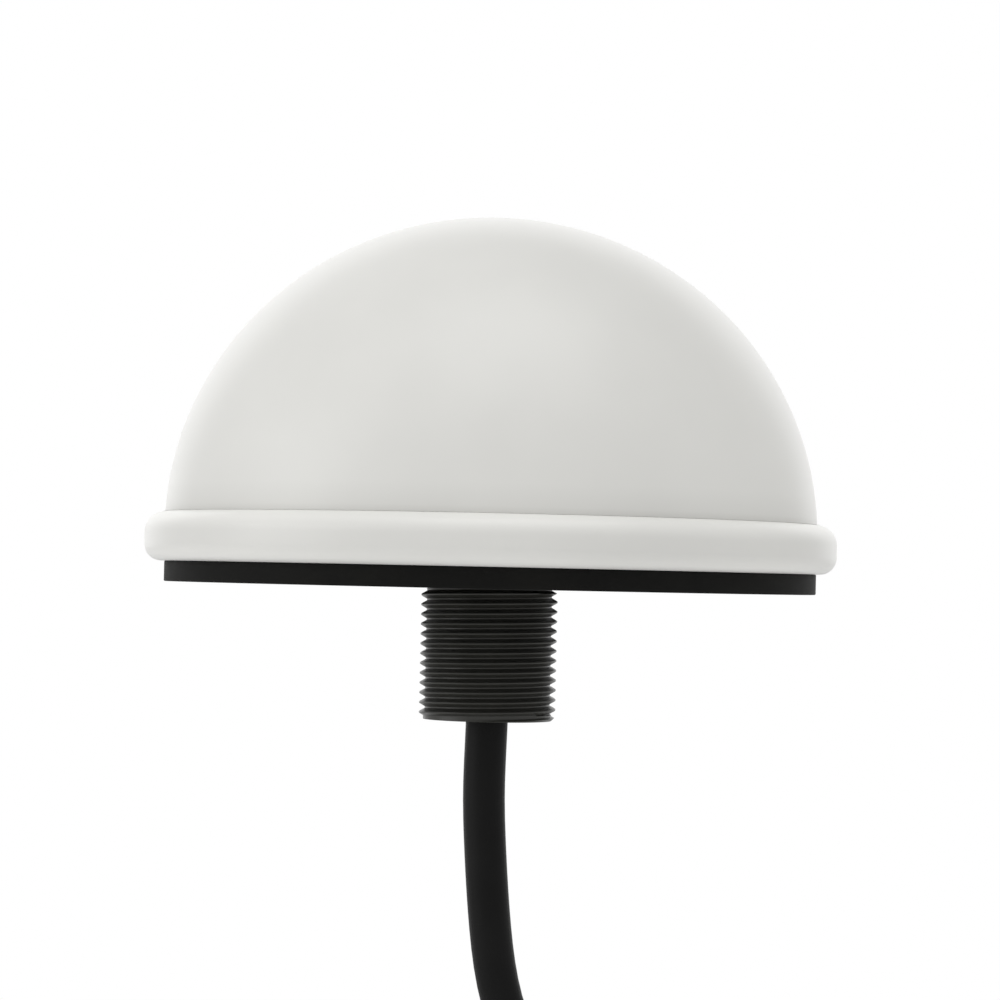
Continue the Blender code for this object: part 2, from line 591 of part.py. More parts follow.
def make_harness():
    """The socket on the board, the plug in it, and four leads down to the stripped cable."""
    ivory = finish("connector_nylon", (0.8, 0.77, 0.68), 0.5)
    socket_height, wall, plug_width, plug_height = 6 * MM, 1.2 * MM, 12.4 * MM, 3.0 * MM
    middle = PARTS_ON_BOARD + socket_height / 2
    back, face, floor = -23.5 * MM, -16.5 * MM, -21.6 * MM
    hollow_width, hollow_height = plug_width + 2 * GAP, plug_height + 2 * GAP
    socket = bmesh.new()
    loft(socket, [across(hollow_width, hollow_height, floor, middle),
                  across(hollow_width, hollow_height, face, middle),
                  across(hollow_width + 2 * wall, socket_height, face, middle),
                  across(hollow_width + 2 * wall, socket_height, back, middle)])
    add_object("board_socket", socket, ivory)
    plug = bmesh.new()
    plug_end = -10.5 * MM
    loft(plug, [across(plug_width, plug_height, floor + GAP, middle),
                across(plug_width, plug_height, plug_end, middle)])
    add_object("wire_plug", plug, finish("wire_plug_nylon", (0.78, 0.75, 0.66), 0.5))

    level = middle / MM
    start = JACKET_END / MM + 0.3
    end = plug_end / MM + 0.3
    for name, side, row, colour in (("lead_power", -1, -1, (0.5, 0.02, 0.02)),
                                    ("lead_ground", 1, -1, (0.02, 0.02, 0.02)),
                                    ("lead_data_high", -1, 1, (0.75, 0.75, 0.75)),
                                    ("lead_data_low", 1, 1, (0.03, 0.1, 0.5))):
        if row < 0:
            route = [(1.1, -1.1, start), (1.2, -1.2, 5), (2.6, -1.6, 11), (4.0, -2.6, 16.2),
                     (4.5, -5.6, level - 0.4), (4.5, end, level)]
        else:
            route = [(1.1, 1.1, start), (1.1, 1.1, 5), (1.2, 1.0, 12), (1.4, -0.7, 17.6),
                     (1.5, -4.6, level - 0.1), (1.5, end, level)]
        tube(name, [(side * x, y, z) for x, y, z in route], LEAD_DIAMETER, 2, finish(name, colour, 0.4), 1.5)


def make_rf_jumper():
    """The thin coaxial lead from the antenna board's underside to the receiver board."""
    gold = finish("rf_contact_gold", (0.8, 0.62, 0.3), 0.3, 1.0)
    jacket = finish("rf_jacket", (0.05, 0.05, 0.05), 0.4)
    radius, height, lead = 1.7 * MM, 1.8 * MM, 1.3 * MM
    x, top_y, low_y = -24 * MM, -12 * MM, 8 * MM
    upper = ANTENNA_BOTTOM - GAP - height
    for name, y, bottom in (("rf_plug_top", top_y, upper), ("rf_plug_bottom", low_y, PARTS_ON_BOARD)):
        turned(name, [(0, bottom), (radius, bottom), (radius, bottom + height), (0, bottom + height)], 12,
               gold).location = (x, y, 0)
    start, end = (top_y + radius + GAP) / MM, (low_y - radius - GAP) / MM
    high, low = (upper + height / 2) / MM, (PARTS_ON_BOARD + height / 2) / MM
    middle = (high + low) / 2
    route = [(-24, start, high), (-24, start + 4, high - 0.6), (-24.6, -2, middle), (-24, end - 4, low + 0.6),
             (-24, end, low)]
    tube("rf_jumper", route, lead, 2, jacket, 1.6)


def make_cable_entry():
    """The grommet that seals the cable in the stem, and the crimped clamp that stops it pulling out."""
    inner = CABLE_DIAMETER / 2 + GAP
    outer = STEM_BORE / 2 - GAP
    low = 1.2 * MM - STEM_LENGTH
    high = low + GROMMET_LENGTH
    turned("stem_grommet", [(outer, high), (outer, low), (inner, low), (inner, high)][::-1], 24,
           finish("grommet_rubber", (0.03, 0.03, 0.03), 0.6), closed=True)
    low = high + GAP
    high = low + CLAMP_LENGTH
    outer = inner + CLAMP_WALL
    turned("cable_clamp", [(inner, low), (inner, high), (outer, high), (outer, low)], 20,
           finish("clamp_steel", (0.6, 0.6, 0.6), 0.35, 1.0), closed=True)


def make_cable():
    """The free cable: the drop from the stem, the stored coil with its ties, and the tail to the plug."""
    jacket = finish("cable_jacket", (0.022, 0.022, 0.022), 0.5)
    tube("cable_drop", DROP_ROUTE, CABLE_DIAMETER, CABLE_SIDES, jacket)
    tube("cable_tail", TAIL_ROUTE, CABLE_DIAMETER, CABLE_SIDES, jacket)

    side = CABLE_DIAMETER / 2 + COIL_SLACK
    inner, outer = COIL_INNER_TURN - side, COIL_OUTER_TURN + side
    chamfer = CABLE_DIAMETER / 3
    profile = [(inner, COIL_BOTTOM + chamfer), (inner, COIL_TOP - chamfer), (inner + chamfer, COIL_TOP),
               (outer - chamfer, COIL_TOP), (outer, COIL_TOP - chamfer), (outer, COIL_BOTTOM + chamfer),
               (outer - chamfer, COIL_BOTTOM), (inner + chamfer, COIL_BOTTOM)]
    centre = Vector((0, COIL_OUTER_TURN, 0))
    turned("cable_coil", profile, 36, jacket, closed=True).location = centre

    # Each tie is a band bent square round the coil; the round coil bows into it by the sagitta.
    nylon = finish("tie_nylon", (0.03, 0.03, 0.03), 0.8)
    bow = inner - math.sqrt(inner ** 2 - (TIE_WIDTH / 2) ** 2) + GAP
    near, far = inner - GAP - bow, outer + GAP
    low, high = COIL_BOTTOM - GAP, COIL_TOP + GAP
    for number, angle in enumerate(TIE_ANGLES, 1):
        bm = bmesh.new()
        loops = []
        for grow, side in ((0, 1), (0, -1), (TIE_THICKNESS, -1), (TIE_THICKNESS, 1)):
            y = side * TIE_WIDTH / 2
            loops.append([(near - grow, y, low - grow), (far + grow, y, low - grow),
                          (far + grow, y, high + grow), (near - grow, y, high + grow)])
        rings = [[bm.verts.new(point) for point in loop] for loop in loops]
        for ring, following in zip(rings, rings[1:] + rings[:1]):
            for index in range(4):
                after = (index + 1) % 4
                bm.faces.new((ring[index], ring[after], following[after], following[index]))
        tie = add_object(f"coil_tie_{number}", bm, nylon)
        tie.location = centre
        tie.rotation_euler.z = math.radians(angle)


def make_connector():
    """The round connector: bend relief, grip, pin carrier with its pins, and the turning coupling ring."""
    overmould = finish("plug_overmould", (0.03, 0.03, 0.03), 0.55)
    carrier = finish("pin_carrier", (0.04, 0.04, 0.04), 0.4)
    nickel = finish("coupling_nickel", (0.66, 0.64, 0.6), 0.25, 1.0)
    gold = finish("pin_gold", (0.85, 0.65, 0.3), 0.25, 1.0)
    at = Vector((*PLUG_AT, PLUG_HEIGHT))

    axis = bpy.data.objects.new("connector_axis", None)
    axis.location = at
    axis.rotation_euler.x = math.pi / 2
    bpy.context.scene.collection.objects.link(axis)

    def on_axis(piece, x=0.0, y=0.0):
        piece.parent = axis
        piece.location = (x, y, 0)

    # Bend relief: a ringed taper over the cable's end.
    mouth = CABLE_DIAMETER / 2 + GAP
    thin, thick = mouth + 0.9 * MM, 6.1 * MM
    rings = 4
    profile = [(0, RELIEF_BORE_DEPTH), (mouth, RELIEF_BORE_DEPTH), (mouth, 0), (thin, 0)]
    for ring in range(rings):
        start = RELIEF_LENGTH * (ring + 0.55) / (rings + 1)
        radius = thin + (thick - thin) * (ring + 1) / rings
        width = RELIEF_LENGTH / (rings + 1)
        profile += [(radius, start), (radius, start + width * 0.6), (radius - 0.6 * MM, start + width * 0.65),
                    (radius - 0.6 * MM, start + width * 0.95)]
    profile += [(thick, RELIEF_LENGTH), (0, RELIEF_LENGTH)]
    on_axis(turned("plug_bend_relief", profile, 16, overmould))

    # Grip: a waisted overmould with finger grooves.
    start = RELIEF_LENGTH + GAP
    end = start + GRIP_LENGTH
    full = GRIP_DIAMETER / 2
    profile = [(0, start), (thick, start), (full - 0.5 * MM, start + 3 * MM), (full, start + 5 * MM)]
    for groove in range(3):
        at_groove = start + (8.5 + groove * 3.2) * MM
        profile += [(full, at_groove), (full - 0.6 * MM, at_groove + 0.5 * MM),
                    (full - 0.6 * MM, at_groove + 1.1 * MM), (full, at_groove + 1.6 * MM)]
    profile += [(full, end - 0.8 * MM), (full - 0.8 * MM, end), (0, end)]
    on_axis(turned("plug_body", profile, 18, overmould))

    # Pin carrier: the hub that the ring turns on, and the shroud round the pins.
    start = end + GAP
    ring_start = start + GAP
    step = ring_start + RING_GRIP_LENGTH
    shoulder = step + GAP
    floor = shoulder + GAP
    face = floor + SHROUD_DEPTH
    hub, shroud = HUB_DIAMETER / 2, SHROUD_DIAMETER / 2
    cavity = shroud - SHROUD_WALL
    profile = [(0, start), (hub, start), (hub, shoulder), (shroud, shoulder), (shroud, face), (cavity, face),
               (cavity, floor), (0, floor)]
    insert = turned("plug_insert", profile, 20, carrier)
    on_axis(insert)
    sockets = bmesh.new()
    pins = [(0.0, 0.0)] + [(x, y) for angle, x, y in around(4, PIN_CIRCLE / 2, 45)]
    hole = PIN_DIAMETER / 2 + GAP
    root = floor - PIN_ROOT
    for x, y in pins:
        spin(sockets, [(0, root - GAP), (hole, root - GAP), (hole, floor + GAP), (0, floor + GAP)], 10, False,
             Matrix.Translation((x, y, 0)))
    apply_boolean(insert, sockets, "DIFFERENCE")
    on_axis(insert.modifiers[0].object)
    for number, (x, y) in enumerate(pins, 1):
        pin = PIN_DIAMETER / 2
        tip = root + PIN_LENGTH
        profile = [(0, root), (pin, root), (pin, tip - pin), (pin * 0.5, tip), (0, tip)]
        on_axis(turned(f"plug_pin_{number}", profile, 10, gold), x, y)

    # Coupling ring: ridged grip, then the plain cylinder that carries the thread.
    outer, bore, nose = RING_DIAMETER / 2, HUB_DIAMETER / 2 + GAP, NOSE_DIAMETER / 2
    ring_end = step + NOSE_LENGTH
    chamfer = 0.6 * MM
    profile = [(bore, ring_start), (outer - chamfer, ring_start), (outer, ring_start + chamfer),
               (outer, step - chamfer), (outer - chamfer, step), (nose, step), (nose, ring_end - chamfer),
               (nose - chamfer, ring_end), (shroud + GAP, ring_end), (shroud + GAP, step), (bore, step)]
    bm = bmesh.new()
    spin(bm, profile, 2 * RING_RIDGES, True)
    valley = 0.5 * MM
    for vert in bm.verts:
        radius = math.hypot(vert.co.x, vert.co.y)
        column = round(math.atan2(vert.co.y, vert.co.x) / math.tau * 2 * RING_RIDGES)
        if radius > outer - chamfer / 2 and column % 2:
            vert.co.x *= (outer - valley) / radius
            vert.co.y *= (outer - valley) / radius
    on_axis(add_object("coupling_ring", bm, nickel))


for leftover in list(bpy.data.objects):
    bpy.data.objects.remove(leftover)
make_radome()
make_gasket()
make_base()
make_seal()
make_base_screws()
make_boards()
make_standoffs()
make_antenna()
make_board_parts()
make_harness()
make_rf_jumper()
make_cable_entry()
make_cable()
make_connector()
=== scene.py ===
"""Looks for a domed satellite positioning receiver with a threaded stem and a coiled cable.

The origin is the centre of the gasket's underside, +Z is up and -Y is the front. Sizes are in metres.
"""
import math

import bmesh
import bpy
import numpy as np
from mathutils import Matrix, Vector


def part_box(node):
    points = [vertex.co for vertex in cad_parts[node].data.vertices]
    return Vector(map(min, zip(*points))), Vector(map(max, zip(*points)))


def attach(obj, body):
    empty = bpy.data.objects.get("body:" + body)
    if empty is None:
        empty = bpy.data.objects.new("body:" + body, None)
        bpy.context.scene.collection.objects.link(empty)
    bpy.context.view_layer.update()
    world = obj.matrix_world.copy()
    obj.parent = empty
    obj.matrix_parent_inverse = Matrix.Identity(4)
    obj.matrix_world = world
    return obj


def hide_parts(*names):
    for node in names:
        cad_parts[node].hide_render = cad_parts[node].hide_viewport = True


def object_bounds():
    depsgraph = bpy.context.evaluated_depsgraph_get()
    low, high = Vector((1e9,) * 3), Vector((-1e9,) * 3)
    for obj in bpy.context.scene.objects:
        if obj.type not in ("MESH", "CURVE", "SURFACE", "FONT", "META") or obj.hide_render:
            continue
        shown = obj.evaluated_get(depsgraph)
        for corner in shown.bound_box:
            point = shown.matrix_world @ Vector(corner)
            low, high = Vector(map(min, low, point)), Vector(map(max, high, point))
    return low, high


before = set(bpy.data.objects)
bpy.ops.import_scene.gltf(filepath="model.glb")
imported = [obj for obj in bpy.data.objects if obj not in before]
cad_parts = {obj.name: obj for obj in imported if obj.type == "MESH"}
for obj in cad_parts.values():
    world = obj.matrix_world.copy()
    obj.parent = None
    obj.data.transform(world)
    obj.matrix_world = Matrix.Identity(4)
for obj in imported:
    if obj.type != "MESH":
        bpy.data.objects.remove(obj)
cad_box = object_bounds()
for leftover in [thing for thing in bpy.data.objects if thing.type in ("CAMERA", "LIGHT")]:
    bpy.data.objects.remove(leftover)


# ---- Camera, light and floor ----
# The camera stands level with the gasket and looks slightly up. The light is that of a white studio:
# a bright wall behind, a soft lamp overhead, one on the left, and even light from all around.
eye = bpy.data.cameras.new("camera")
eye.lens = 119.9
eye.sensor_width = 36.0
camera = bpy.data.objects.new("camera", eye)
bpy.context.scene.collection.objects.link(camera)
camera.location = (0.00155, -0.620, 0.0022)
camera.rotation_euler = (Matrix.Rotation(math.radians(90 + 1.311), 3, "X")
                         @ Matrix.Rotation(math.radians(1.25), 3, "Z")).to_euler()
bpy.context.scene.camera = camera
bpy.context.scene.view_settings.view_transform = "Standard"


def node_of(tree, kind, **values):
    """A new shader node, with values on its inputs."""
    node = tree.nodes.new(f"ShaderNode{kind}")
    for label, value in values.items():
        node.inputs[label.replace("_", " ")].default_value = value
    return node


def calc(tree, operation, *terms):
    """The result of a Math node on sockets and numbers."""
    node = node_of(tree, "Math")
    node.operation = operation
    for socket, term in zip(node.inputs, terms):
        if isinstance(term, float):
            socket.default_value = term
        else:
            tree.links.new(term, socket)
    return node.outputs["Value"]


world = bpy.data.worlds.new("white_studio")
bpy.context.scene.world = world
world.use_nodes = True
sky = world.node_tree
surround = sky.nodes["Background"]
surround.inputs["Color"].default_value = (1.0, 1.0, 1.0, 1.0)
surround.inputs["Strength"].default_value = 0.61
backdrop = node_of(sky, "Background", Color=(1.0, 1.0, 1.0, 1.0), Strength=1.0)
seen = node_of(sky, "LightPath")
choice = node_of(sky, "MixShader")
sky.links.new(seen.outputs["Is Camera Ray"], choice.inputs["Fac"])
sky.links.new(surround.outputs["Background"], choice.inputs[1])
sky.links.new(backdrop.outputs["Background"], choice.inputs[2])
sky.links.new(choice.outputs["Shader"], sky.nodes["World Output"].inputs["Surface"])


def lamp(name, place, aim, width, height, brightness):
    """A rectangular soft lamp of an even brightness, turned towards a point."""
    light = bpy.data.lights.new(name, "AREA")
    light.shape = "RECTANGLE"
    light.size, light.size_y = width, height
    light.energy = brightness * math.pi * width * height
    lit = bpy.data.objects.new(name, light)
    bpy.context.scene.collection.objects.link(lit)
    lit.location = place
    lit.rotation_euler = (Vector(aim) - Vector(place)).to_track_quat("-Z", "Y").to_euler()


lamp("bright_wall", (0, 1.9, 0.25), (0, 0, 0.1), 3.4, 2.6, 0.88)
lamp("top_softbox", (0.1, -0.5, 1.45), (0, 0, 0.03), 1.3, 1.0, 1.6)
lamp("left_softbox", (-1.95, -0.65, 0.45), (0, 0, 0.02), 1.4, 1.4, 1.4)

bpy.ops.object.select_all(action="DESELECT")
bpy.ops.mesh.primitive_circle_add(vertices=96, radius=4.0, fill_type="NGON", location=(0, 0, cad_box[0].z))
floor = bpy.context.object
floor.name = "floor"
paper = bpy.data.materials.new("white_paper")
paper.use_nodes = True
sheet = paper.node_tree
matt = sheet.nodes["Principled BSDF"]
matt.inputs["Base Color"].default_value = (0.86, 0.86, 0.86, 1.0)
matt.inputs["Roughness"].default_value = 0.9
matt.inputs["Specular IOR Level"].default_value = 0.1
glow = node_of(sheet, "Emission", Strength=1.0)
where = node_of(sheet, "TexCoord")
distance = node_of(sheet, "VectorMath")
distance.operation = "LENGTH"
fade = node_of(sheet, "MapRange", From_Min=0.16, From_Max=0.55)
fade.interpolation_type = "SMOOTHSTEP"
looked_at = node_of(sheet, "LightPath")
mixed = node_of(sheet, "MixShader")
sheet.links.new(where.outputs["Object"], distance.inputs[0])
sheet.links.new(distance.outputs["Value"], fade.inputs["Value"])
share = calc(sheet, "MULTIPLY", fade.outputs["Result"], looked_at.outputs["Is Camera Ray"])
sheet.links.new(share, mixed.inputs["Fac"])
sheet.links.new(matt.outputs["BSDF"], mixed.inputs[1])
sheet.links.new(glow.outputs["Emission"], mixed.inputs[2])
sheet.links.new(mixed.outputs["Shader"], sheet.nodes["Material Output"].inputs["Surface"])
floor.data.materials.append(paper)


# ---- Radome ----
# One injection-moulded shell of white UV-stable plastic with a rounded rim, and six screw bosses on webs
# inside. It is drawn as a ring along its outline, and the bosses are joined to its wall.
DOME_RADIUS = 0.0605
DOME_RISE = 0.0587
DOME_CENTRE = 0.010
CROWN_ANGLE = 89.4
RIM_RADIUS = 0.06415
RIM_LOW = 0.00376
RIM_HIGH = 0.01285
BORE_RADIUS = 0.0572
SHELL = 0.003
BASE_LOW = 0.0039
BASE_TOP = 0.0084
SCREW_CIRCLE = 0.050
SCREW_COUNT = 6
FIRST_SCREW = 30
BOSS_RADIUS = 0.004
BOSS_HEIGHT = 0.0107
BOSS_GAP = 0.0003
WEB_LENGTH = 0.0082
WEB_WIDTH = 0.0024
PILOT_RADIUS = 0.0018
PILOT_END = 0.0179


def eased(corners, steps=4):
    """An outline of (radius, height) points from corners given as (radius, height, rounding)."""
    outline = []
    for index, (radius, height, rounding) in enumerate(corners):
        corner = Vector((radius, height))
        if not rounding or index in (0, len(corners) - 1):
            outline.append((radius, height))
            continue
        back = (Vector(corners[index - 1][:2]) - corner).normalized()
        on = (Vector(corners[index + 1][:2]) - corner).normalized()
        half = math.acos(max(-1.0, min(1.0, back.dot(on)))) / 2
        centre = corner + (back + on).normalized() * rounding / math.sin(half)
        start = corner + back * rounding / math.tan(half) - centre
        end = corner + on * rounding / math.tan(half) - centre
        sweep = math.pi - 2 * half
        for step in range(steps + 1):
            share = step / steps
            arm = (start * math.sin((1 - share) * sweep) + end * math.sin(share * sweep)) / math.sin(sweep)
            outline.append(tuple(centre + arm))
    return outline


def draw_out(outline):
    """Extrudes the selected ring from point to point of an outline."""
    for (radius, height), (wider, higher) in zip(outline, outline[1:]):
        bpy.ops.mesh.extrude_edges_move(TRANSFORM_OT_translate={"value": (0, 0, higher - height)})
        if abs(wider - radius) > 1e-9:
            grow = wider / radius
            bpy.ops.transform.resize(value=(grow, grow, 1), center_override=(0, 0, 0))


def turned(name, outline, sides, angle=40):
    """A round piece drawn along its outline about the vertical axis, and closed at both ends."""
    bpy.ops.object.select_all(action="DESELECT")
    radius, height = outline[0]
    bpy.ops.mesh.primitive_circle_add(vertices=sides, radius=radius, location=(0, 0, height))
    piece = bpy.context.object
    piece.name = name
    bpy.ops.object.mode_set(mode="EDIT")
    draw_out(outline)
    close_up()
    settle(piece, angle)
    return piece


def close_up():
    """Merges what meets, fills open ends with a fan of triangles, and turns every face outwards."""
    bpy.ops.mesh.select_all(action="SELECT")
    bpy.ops.mesh.remove_doubles(threshold=1e-6)
    bpy.ops.mesh.select_all(action="DESELECT")
    bpy.ops.mesh.select_non_manifold()
    bpy.ops.mesh.fill_holes(sides=0)
    bpy.ops.mesh.select_all(action="DESELECT")
    bpy.ops.mesh.select_face_by_sides(number=4, type="GREATER")
    bpy.ops.mesh.poke()
    bpy.ops.mesh.select_all(action="SELECT")
    bpy.ops.mesh.normals_make_consistent(inside=False)
    if bmesh.from_edit_mesh(bpy.context.object.data).calc_volume(signed=True) < 0:
        bpy.ops.mesh.flip_normals()


def pick(*pieces):
    """Selects pieces and nothing else, with the first one active."""
    bpy.ops.object.select_all(action="DESELECT")
    for piece in pieces:
        piece.select_set(True)
    bpy.context.view_layer.objects.active = pieces[0]


def settle(piece, angle=40):
    """Leaves edit mode, moves the object's place into its mesh, and shades it smooth up to an angle."""
    if piece.mode == "EDIT":
        bpy.ops.object.mode_set(mode="OBJECT")
    pick(piece)
    bpy.ops.object.transform_apply(location=True, rotation=True, scale=True)
    bpy.ops.object.shade_smooth_by_angle(angle=math.radians(angle))


def combine(piece, tool, operation):
    """Joins a tool's solid to a piece, or cuts it away, and removes the tool."""
    pick(piece)
    step = piece.modifiers.new(tool.name, "BOOLEAN")
    step.operation = operation
    step.object = tool
    step.solver = "EXACT"
    bpy.ops.object.modifier_apply(modifier=step.name)
    bpy.data.objects.remove(tool)
    bpy.ops.object.mode_set(mode="EDIT")
    bpy.ops.mesh.select_mode(type="VERT")
    bpy.ops.mesh.select_all(action="SELECT")
    bpy.ops.mesh.remove_doubles(threshold=2e-6)
    bpy.ops.mesh.dissolve_degenerate(threshold=2e-6)
    bpy.ops.mesh.select_all(action="SELECT")
    bpy.ops.mesh.quads_convert_to_tris(quad_method="BEAUTY", ngon_method="BEAUTY")
    bpy.ops.mesh.dissolve_degenerate(threshold=2e-6)
    bpy.ops.object.mode_set(mode="OBJECT")


def block(name, place, size, turn=0.0):
    """A block, turned about the vertical axis, that is joined to a piece."""
    bpy.ops.object.select_all(action="DESELECT")
    bpy.ops.mesh.primitive_cube_add(size=1.0, location=place, rotation=(0, 0, turn), scale=size)
    piece = bpy.context.object
    piece.name = name
    settle(piece)
    return piece


def round_bars(name, places, outline, sides):
    """Equal upright round bars at several places, in one mesh."""
    bars = []
    for x, y in places:
        bar = turned(f"{name}_bar", outline, sides)
        bar.location = (x, y, 0)
        bars.append(bar)
    pick(*bars)
    bpy.ops.object.join()
    bars[0].name = name
    settle(bars[0])
    return bars[0]


def circle_of(count, radius, first=0.0):
    """Angles and places spaced evenly round the axis."""
    for index in range(count):
        angle = math.radians(first) + math.tau * index / count
        yield angle, radius * math.cos(angle), radius * math.sin(angle)


def dome(angle, wall=0.0):
    """A point of the dome's ellipse, by its angle in degrees above the horizontal."""
    turn = math.radians(angle)
    return (DOME_RADIUS - wall) * math.cos(turn), DOME_CENTRE + (DOME_RISE - wall) * math.sin(turn)


def dome_arc(start, end, steps, wall=0.0):
    """The dome's outline from one angle to another."""
    return [dome(start + (end - start) * step / steps, wall) for step in range(steps + 1)]


crease = math.degrees(math.asin((RIM_HIGH - DOME_CENTRE) / DOME_RISE))
bore = math.degrees(math.acos(BORE_RADIUS / (DOME_RADIUS - SHELL)))
outside = dome_arc(CROWN_ANGLE, crease + 0.6, 56)
inside = dome_arc(bore, CROWN_ANGLE, 40, SHELL)
foot = dome(crease)[0]
rim = eased([(*outside[-1], 0), (foot, RIM_HIGH - 0.0003, 0.0001), (foot + 0.0004, RIM_HIGH, 0.0002),
             (RIM_RADIUS, RIM_HIGH, 0.0038), (RIM_RADIUS, RIM_LOW, 0.0031),
             (BORE_RADIUS, RIM_LOW, 0.0003), (BORE_RADIUS, RIM_LOW + 0.003, 0)], 8)
radome = turned("radome_shell", outside + rim[1:] + inside, 160, 30)
boss_middle = BASE_TOP + BOSS_GAP + BOSS_HEIGHT / 2
for angle, x, y in circle_of(SCREW_COUNT, SCREW_CIRCLE, FIRST_SCREW):
    bpy.ops.object.select_all(action="DESELECT")
    bpy.ops.mesh.primitive_cylinder_add(vertices=32, radius=BOSS_RADIUS, depth=BOSS_HEIGHT,
                                        location=(x, y, boss_middle))
    boss = bpy.context.object
    boss.name = "boss"
    settle(boss)
    outward = Vector((math.cos(angle), math.sin(angle), 0)) * WEB_LENGTH / 2
    web = block("web", Vector((x, y, boss_middle)) + outward, (WEB_LENGTH, WEB_WIDTH, BOSS_HEIGHT), angle)
    combine(radome, boss, "UNION")
    combine(radome, web, "UNION")
screw_places = [(x, y) for angle, x, y in circle_of(SCREW_COUNT, SCREW_CIRCLE, FIRST_SCREW)]
pilots = round_bars("pilots", screw_places, [(PILOT_RADIUS, BASE_TOP - 0.0006),
                                             (PILOT_RADIUS, PILOT_END)], 24)
combine(radome, pilots, "DIFFERENCE")


def shader_of(name, roughness, **settings):
    """A new material, its node tree and its shader, with the shader's even settings."""
    material = bpy.data.materials.new(name)
    material.use_nodes = True
    shader = material.node_tree.nodes["Principled BSDF"]
    shader.inputs["Roughness"].default_value = roughness
    for label, value in settings.items():
        shader.inputs[label.replace("_", " ")].default_value = value
    return material, material.node_tree, shader


def make_grain():
    """Moulded plastic and rubber: fine surface grain, and slow patches of shade."""
    group = bpy.data.node_groups.new("moulded_grain", "ShaderNodeTree")
    face = group.interface
    face.new_socket("Grain Size", in_out="INPUT", socket_type="NodeSocketFloat").default_value = 0.0003
    face.new_socket("Patch Size", in_out="INPUT", socket_type="NodeSocketFloat").default_value = 0.03
    face.new_socket("Height", in_out="OUTPUT", socket_type="NodeSocketFloat")
    face.new_socket("Patches", in_out="OUTPUT", socket_type="NodeSocketFloat")
    start = group.nodes.new("NodeGroupInput")
    end = group.nodes.new("NodeGroupOutput")
    place = node_of(group, "TexCoord")
    for size, detail, result in (("Grain Size", 2.0, "Height"), ("Patch Size", 3.0, "Patches")):
        noise = node_of(group, "TexNoise", Detail=detail)
        group.links.new(calc(group, "DIVIDE", 1.0, start.outputs[size]), noise.inputs["Scale"])
        group.links.new(place.outputs["Object"], noise.inputs["Vector"])
        group.links.new(noise.outputs["Fac"], end.inputs[result])
    return group


grain = make_grain()


def add_grain(tree, grain_size, patch_size):
    """Places the moulded grain in a material."""
    texture = node_of(tree, "Group")
    texture.node_tree = grain
    texture.inputs["Grain Size"].default_value = grain_size
    texture.inputs["Patch Size"].default_value = patch_size
    return texture


def add_shades(tree, mask, dark, light, low, high):
    """A colour that goes from a dark to a light shade as a mask goes from low to high."""
    ramp = node_of(tree, "ValToRGB")
    for end, position, colour in zip(ramp.color_ramp.elements, (low, high), (dark, light)):
        end.position = position
        end.color = (*colour, 1.0)
    tree.links.new(mask, ramp.inputs["Fac"])
    return ramp.outputs["Color"]


def add_gloss(tree, shader, mask, low, high):
    """Lets a mask move a shader's roughness between two values."""
    gloss = node_of(tree, "MapRange", To_Min=low, To_Max=high)
    tree.links.new(mask, gloss.inputs["Value"])
    tree.links.new(gloss.outputs["Result"], shader.inputs["Roughness"])


def add_bump(tree, shader, height, depth):
    """Raises a surface by a height of 0 to 1, times a depth in metres."""
    bump = node_of(tree, "Bump", Distance=depth)
    tree.links.new(height, bump.inputs["Height"])
    tree.links.new(bump.outputs["Normal"], shader.inputs["Normal"])


def moulded(name, light, dark, roughness, grain_size, depth, patch_size=0.03, **settings):
    """Moulded plastic or rubber whose colour drifts between two shades, with fine grain."""
    material, tree, shader = shader_of(name, roughness, **settings)
    texture = add_grain(tree, grain_size, patch_size)
    patches = texture.outputs["Patches"]
    tree.links.new(add_shades(tree, patches, dark, light, 0.35, 0.65), shader.inputs["Base Color"])
    add_gloss(tree, shader, patches, roughness * 0.85, roughness * 1.15)
    add_bump(tree, shader, texture.outputs["Height"], depth)
    return material


def paint_shading_by_height(material, top, shading_tones):
    """Multiplies a material's colour by painted light and shade that follow the height, as (share of the top
    height, tone).
    """
    tree = material.node_tree
    place = node_of(tree, "TexCoord")
    parts = node_of(tree, "SeparateXYZ")
    height = node_of(tree, "MapRange", From_Max=top)
    painted_bands = node_of(tree, "ValToRGB")
    stops = painted_bands.color_ramp.elements
    stops[0].position = shading_tones[0][0]
    stops[1].position = shading_tones[-1][0]
    for place_of_tone, tone in shading_tones[1:-1]:
        stops.new(place_of_tone)
    for stop, (place_of_tone, tone) in zip(stops, shading_tones):
        stop.color = (tone, tone, tone, 1.0)
    # Multiplies the painted light and shade into the base colour.
    painted_shading = node_of(tree, "Mix")
    painted_shading.data_type = "RGBA"
    painted_shading.blend_type = "MULTIPLY"
    painted_shading.inputs["Factor"].default_value = 1.0
    tree.links.new(place.outputs["Object"], parts.inputs["Vector"])
    tree.links.new(parts.outputs["Z"], height.inputs["Value"])
    tree.links.new(height.outputs["Result"], painted_bands.inputs["Fac"])
    tree.links.new(tree.nodes["Color Ramp"].outputs["Color"], painted_shading.inputs["A"])
    tree.links.new(painted_bands.outputs["Color"], painted_shading.inputs["B"])
    tree.links.new(painted_shading.outputs["Result"], tree.nodes["Principled BSDF"].inputs["Base Color"])
